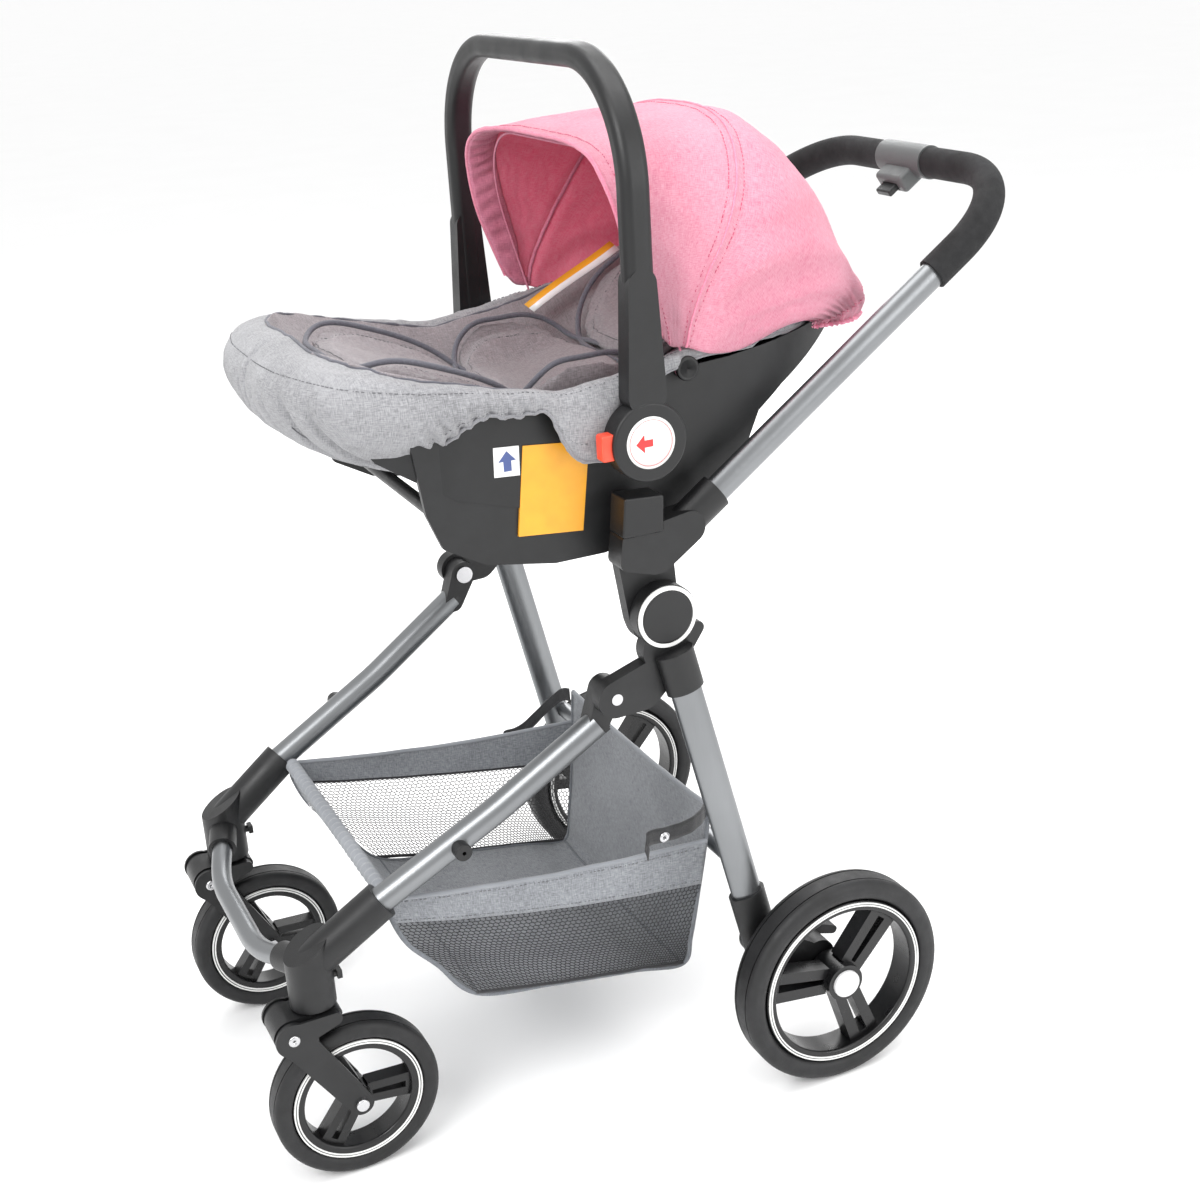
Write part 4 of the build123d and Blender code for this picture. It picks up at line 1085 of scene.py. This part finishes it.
def strap_rows(sign):
    """A strap's points; the right one hangs down behind the far wall."""
    path = even_keys([mm(*p) for p in STRAP_MM])
    rows = []
    for i in range(STRAP_STEPS + 1):
        t = i / STRAP_STEPS
        p = hermite(path, t)
        narrow = 0.0085 * (1 - 0.25 * smoothstep(0.75, 0.95, t))
        lean = smoothstep(0.72, 0.8, t)
        droop = FAR_STRAP_DROOP * smoothstep(0.05, 0.6, t) if sign < 0 else 0.0
        row = []
        for u in (-1, -0.5, 0, 0.5, 1):
            x = sign * (p.x + 0.0003 * math.sin(i * 0.8 + u))
            row.append(Vector((x, p.y + narrow * u * 0.2 * lean, p.z + narrow * u - droop)))
        rows.append(row)
    return rows


def make_straps():
    """The webbing tab from the basket's rear corner round each rear leg, with its snap."""
    for sign, side in SIDES:
        faces = grid_faces(STRAP_STEPS + 1, 5)
        strap = mesh_piece(f"basket_strap_{side}", flatten(strap_rows(sign)), faces, MATERIALS["webbing"])
        solidify(strap, 0.002)
        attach(strap, "rear_frame")
        if sign > 0:
            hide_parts("basket_straps")
        centre = Vector((sign * SNAP_X, -0.010, 0.298 if sign > 0 else 0.248))
        snap = lathe_x(f"strap_snap_{side}", SNAP_PROFILE, centre, MATERIALS["steel"], 40)
        if sign < 0:
            for v in snap.data.vertices:
                v.co.x = 2 * (-SNAP_X) - v.co.x
            snap.data.flip_normals()
        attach(snap, "rear_frame")


# ---------------------------------------------------------------- wheel trims, labels, small details
# Each wheel: its centre's x, y and z, half of its width, and the trim's inner and outer radius.
WHEELS_MM = {
    "rear_wheel": (285.0, 150.0, 120.0, 17.4, 90.9, 95.3),
    "front_wheel": (172.0, -365.0, 88.0, 14.4, 64.4, 68.9),
}


def turned(name, profile, centre, face, material, segments):
    """A lathe_x piece whose profile grows along +X or -X, as face says, with its faces outward."""
    return lathe_x(name, profile if face < 0 else profile[::-1], centre, material, segments)


def facing_ring(name, x, half, low, high, depth, centre, face, material, body):
    """A flat ring on one face of a wheel; face is +1 or -1 along X."""
    back = face * (half - 0.0016)
    front = face * (half + depth)
    profile = [(back, low), (front, low + 0.0002), (front, high - 0.0002), (back, high)]
    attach(turned(name, profile, Vector((x, *centre)), face, material, 128), body)


def make_wheel_trims():
    """A grey band and two white lines on both faces of each wheel's rim."""
    for kind, (x, y, z, half, low, high) in WHEELS_MM.items():
        width = (high - low) * 0.4
        rings = [("band", low * MM, high * MM, 0.0004, MATERIALS["grey_plastic"])]
        for k, start in enumerate((low, high - width)):
            rings.append((f"line_{k}", start * MM, (start + width) * MM, 0.0011, MATERIALS["white_trim"]))
        for sign, side in SIDES:
            for face, where in ((1, "a"), (-1, "b")):
                for name, inner, outer, depth, material in rings:
                    facing_ring(f"{kind}_{side}_{where}_{name}", sign * x * MM, half * MM, inner, outer,
                                depth, (y * MM, z * MM), face, material, f"{kind}_{side}")


def disc_label(name, x, centre, radius, material, face):
    """A thin round label on a plane of constant x; its middle is a little proud of its edge."""
    count = 72
    points = [Vector((x + face * 0.0006, *centre)), Vector((x - face * 0.0006, *centre))]
    for k in range(count):
        a = 2 * math.pi * k / count
        y, z = centre[0] + radius * math.cos(a), centre[1] + radius * math.sin(a)
        points.append(Vector((x + face * 0.0005, y, z)))
        points.append(Vector((x - face * 0.0006, y, z)))
    faces = []
    for k in range(count):
        a, b = 2 + 2 * k, 2 + 2 * ((k + 1) % count)
        faces += [(0, a, b), (1, b + 1, a + 1), (a, a + 1, b + 1, b)]
    if face < 0:
        faces = [f[::-1] for f in faces]
    return mesh_piece(name, points, faces, material)


def flat_label(name, x, corners_mm, material, face, lift, sunk=0.0004):
    """A thin printed label on a plane of constant x; corners are (y, z)."""
    outer = x + face * lift
    points = [Vector((outer, a * MM, b * MM)) for a, b in corners_mm]
    points += [Vector((x - face * sunk, a * MM, b * MM)) for a, b in corners_mm]
    n = len(corners_mm)
    faces = [tuple(range(n)), tuple(range(n, 2 * n))[::-1]]
    faces += [(k, k + n, (k + 1) % n + n, (k + 1) % n) for k in range(n)]
    label = mesh_piece(name, points, faces, material)
    label.data.polygons.foreach_set("use_smooth", [False] * len(faces))
    return label


ARROW_MM = ((-33, 738), (-24, 747), (-24, 741.5), (-15, 741.5), (-15, 734.5), (-24, 734.5), (-24, 729))
UP_ARROW_MM = ((-144, 740), (-135, 730), (-140, 730), (-140, 720), (-148, 720), (-148, 730), (-153, 730))
WHITE_LABEL_MM = ((-157, 745), (-131, 743), (-132, 714), (-158, 716))
ORANGE_LABEL_MM = ((-127, 742), (-138, 653), (-70, 646), (-58, 735))


HUB_FACE_X = 0.230
HUB_CENTRE = (-0.017, 0.738)
SHELL_LABEL_X = 0.1783
SHELL_LABELS = (
    ("white", WHITE_LABEL_MM, LABEL_WHITE, 0.0006),
    ("arrow", UP_ARROW_MM, LABEL_BLUE, 0.0009),
    ("orange", ORANGE_LABEL_MM, LABEL_ORANGE, 0.0006),
)


def make_labels():
    """Blank labels with plain arrows on the handle's hubs, the shell's sides and the far wall."""
    for sign, side in SIDES:
        x = sign * HUB_FACE_X
        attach(disc_label(f"hub_label_{side}", x, HUB_CENTRE, 0.0255, LABEL_WHITE, sign), "carry_bar")
        facing_ring(f"hub_label_ring_{side}", x, 0.0006, 0.0222, 0.0229, 0.0002, HUB_CENTRE, sign,
                    LABEL_RED, "carry_bar")
        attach(flat_label(f"hub_arrow_{side}", x, ARROW_MM, LABEL_RED, sign, 0.0009), "carry_bar")
        for name, corners, material, lift in SHELL_LABELS:
            label = flat_label(f"shell_label_{name}_{side}", sign * SHELL_LABEL_X, corners, material,
                               sign, lift, 0.0026)
            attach(label, "carrier")
    make_wall_label()


def make_wall_label():
    """A blank two-tone label on the far wall of the bowl, above the head cushion."""
    rows = []
    for i in range(9):
        low = mm(-121, 18, 799).lerp(mm(-116, 125, 856), i / 8)
        high = mm(-133, 12, 806).lerp(mm(-130, 120, 864), i / 8)
        rows.append([low.lerp(high, k / 2) + Vector((0.002, 0, 0.001 * math.sin(i * 0.7))) for k in range(3)])
    label = mesh_piece("wall_label", flatten(rows), grid_faces(9, 3), LABEL_WHITE, LABEL_ORANGE)
    for i, polygon in enumerate(label.data.polygons):
        polygon.material_index = i % 2
    solidify(label, 0.0008)
    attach(label, "carrier")


KNOB_PROFILE = ((0.0, 0.0005), (0.0016, 0.0005), (0.0018, 0.0082), (0.0030, 0.0088), (0.0032, 0.0108),
                (0.0022, 0.0122), (0.0, 0.0124))


def make_canopy_knobs():
    """The black caps over the canopy's pivots, each with a raised rim."""
    for sign, side in SIDES:
        profile = [(sign * x, r) for x, r in KNOB_PROFILE]
        knob = turned(f"canopy_knob_{side}", profile, mm(sign * 188.6, 46, 792), sign, CHARCOAL, 64)
        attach(knob, "carrier")


SCREW_R = 0.0062


def make_screws():
    """Domed screw heads with a small recess, on the outer and inner cheek of each caster."""
    for sign, side in SIDES:
        for name, x, face in (("cheek_screw", 0.1995, sign), ("cheek_screw_inner", 0.1445, -sign)):
            profile = [(0.0, 0.0006), (face * 0.0012, 0.0006), (face * 0.0012, 0.0018),
                       (face * 0.002, 0.0022), (face * 0.0018, SCREW_R * 0.8), (face * 0.0008, SCREW_R),
                       (0.0, SCREW_R)]
            centre = Vector((sign * x, -0.425, 0.1885))
            screw = turned(f"{name}_{side}", profile, centre, face, MATERIALS["steel"], 40)
            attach(screw, f"caster_{side}")


# ---------------------------------------------------------------- camera, lights, floor
def make_camera():
    """A camera at the left front, a little above the handle, slightly rolled."""
    target = Vector((0.0, 0.0438, 0.4827))
    azimuth = math.radians(65.24)
    elevation = math.radians(21.68)
    roll = math.radians(-3.28)
    distance = 1.9476
    back = Vector((math.sin(azimuth) * math.cos(elevation), -math.cos(azimuth) * math.cos(elevation),
                   math.sin(elevation)))
    data = bpy.data.cameras.new("camera")
    camera = link("camera", data)
    camera.location = target + back * distance
    camera.rotation_mode = "QUATERNION"
    camera.rotation_quaternion = (-back).to_track_quat("-Z", "Y") @ Quaternion((0, 0, 1), roll)
    data.sensor_width = 36.0
    data.lens = 51.84
    data.shift_x = -0.0139
    data.shift_y = 0.0035
    bpy.context.scene.camera = camera


def area_light(name, place, size, power, aim=(0.0, 0.0, 0.55)):
    data = bpy.data.lights.new(name, "AREA")
    data.size = size
    data.energy = power
    light = link(name, data)
    light.location = place
    light.rotation_mode = "QUATERNION"
    light.rotation_quaternion = (Vector(aim) - light.location).to_track_quat("-Z", "Y")


def make_studio():
    area_light("key", (1.6, -2.2, 2.6), 1.6, 56.0)
    area_light("top", (0.2, 0.3, 3.1), 2.2, 46.0)
    area_light("side", (2.6, 1.7, 1.5), 1.6, 30.0)
    area_light("back", (-2.4, 1.4, 1.9), 1.8, 34.0)
    world = bpy.data.worlds.new("studio")
    world.use_nodes = True
    world.node_tree.nodes["Background"].inputs["Color"].default_value = (1.0, 1.0, 1.0, 1.0)
    world.node_tree.nodes["Background"].inputs["Strength"].default_value = 1.0
    bpy.context.scene.world = world
    size = 60.0
    s = Shader("pale_floor")
    s.colour(s.mix(s.noise(s.place(), 3.0), linear(250, 250, 250), linear(254, 254, 254)))
    s.roughness(s.spread(s.noise(s.place(), 12.0), 0.3, 0.7, 0.5, 0.65))
    corners = [(-size, -size, 0), (size, -size, 0), (size, size, 0), (-size, size, 0)]
    floor = mesh_piece("floor", corners, [(0, 1, 2, 3)], s.material)
    bpy.context.scene.view_settings.view_transform = "Standard"


make_canopy()
make_rim_pad()
make_liner()
for cushion_name, cushion_shape in CUSHIONS.items():
    make_cushion(cushion_name, cushion_shape)
make_harness()
make_basket()
make_straps()
make_wheel_trims()
make_labels()
make_screws()
make_canopy_knobs()
make_camera()
make_studio()
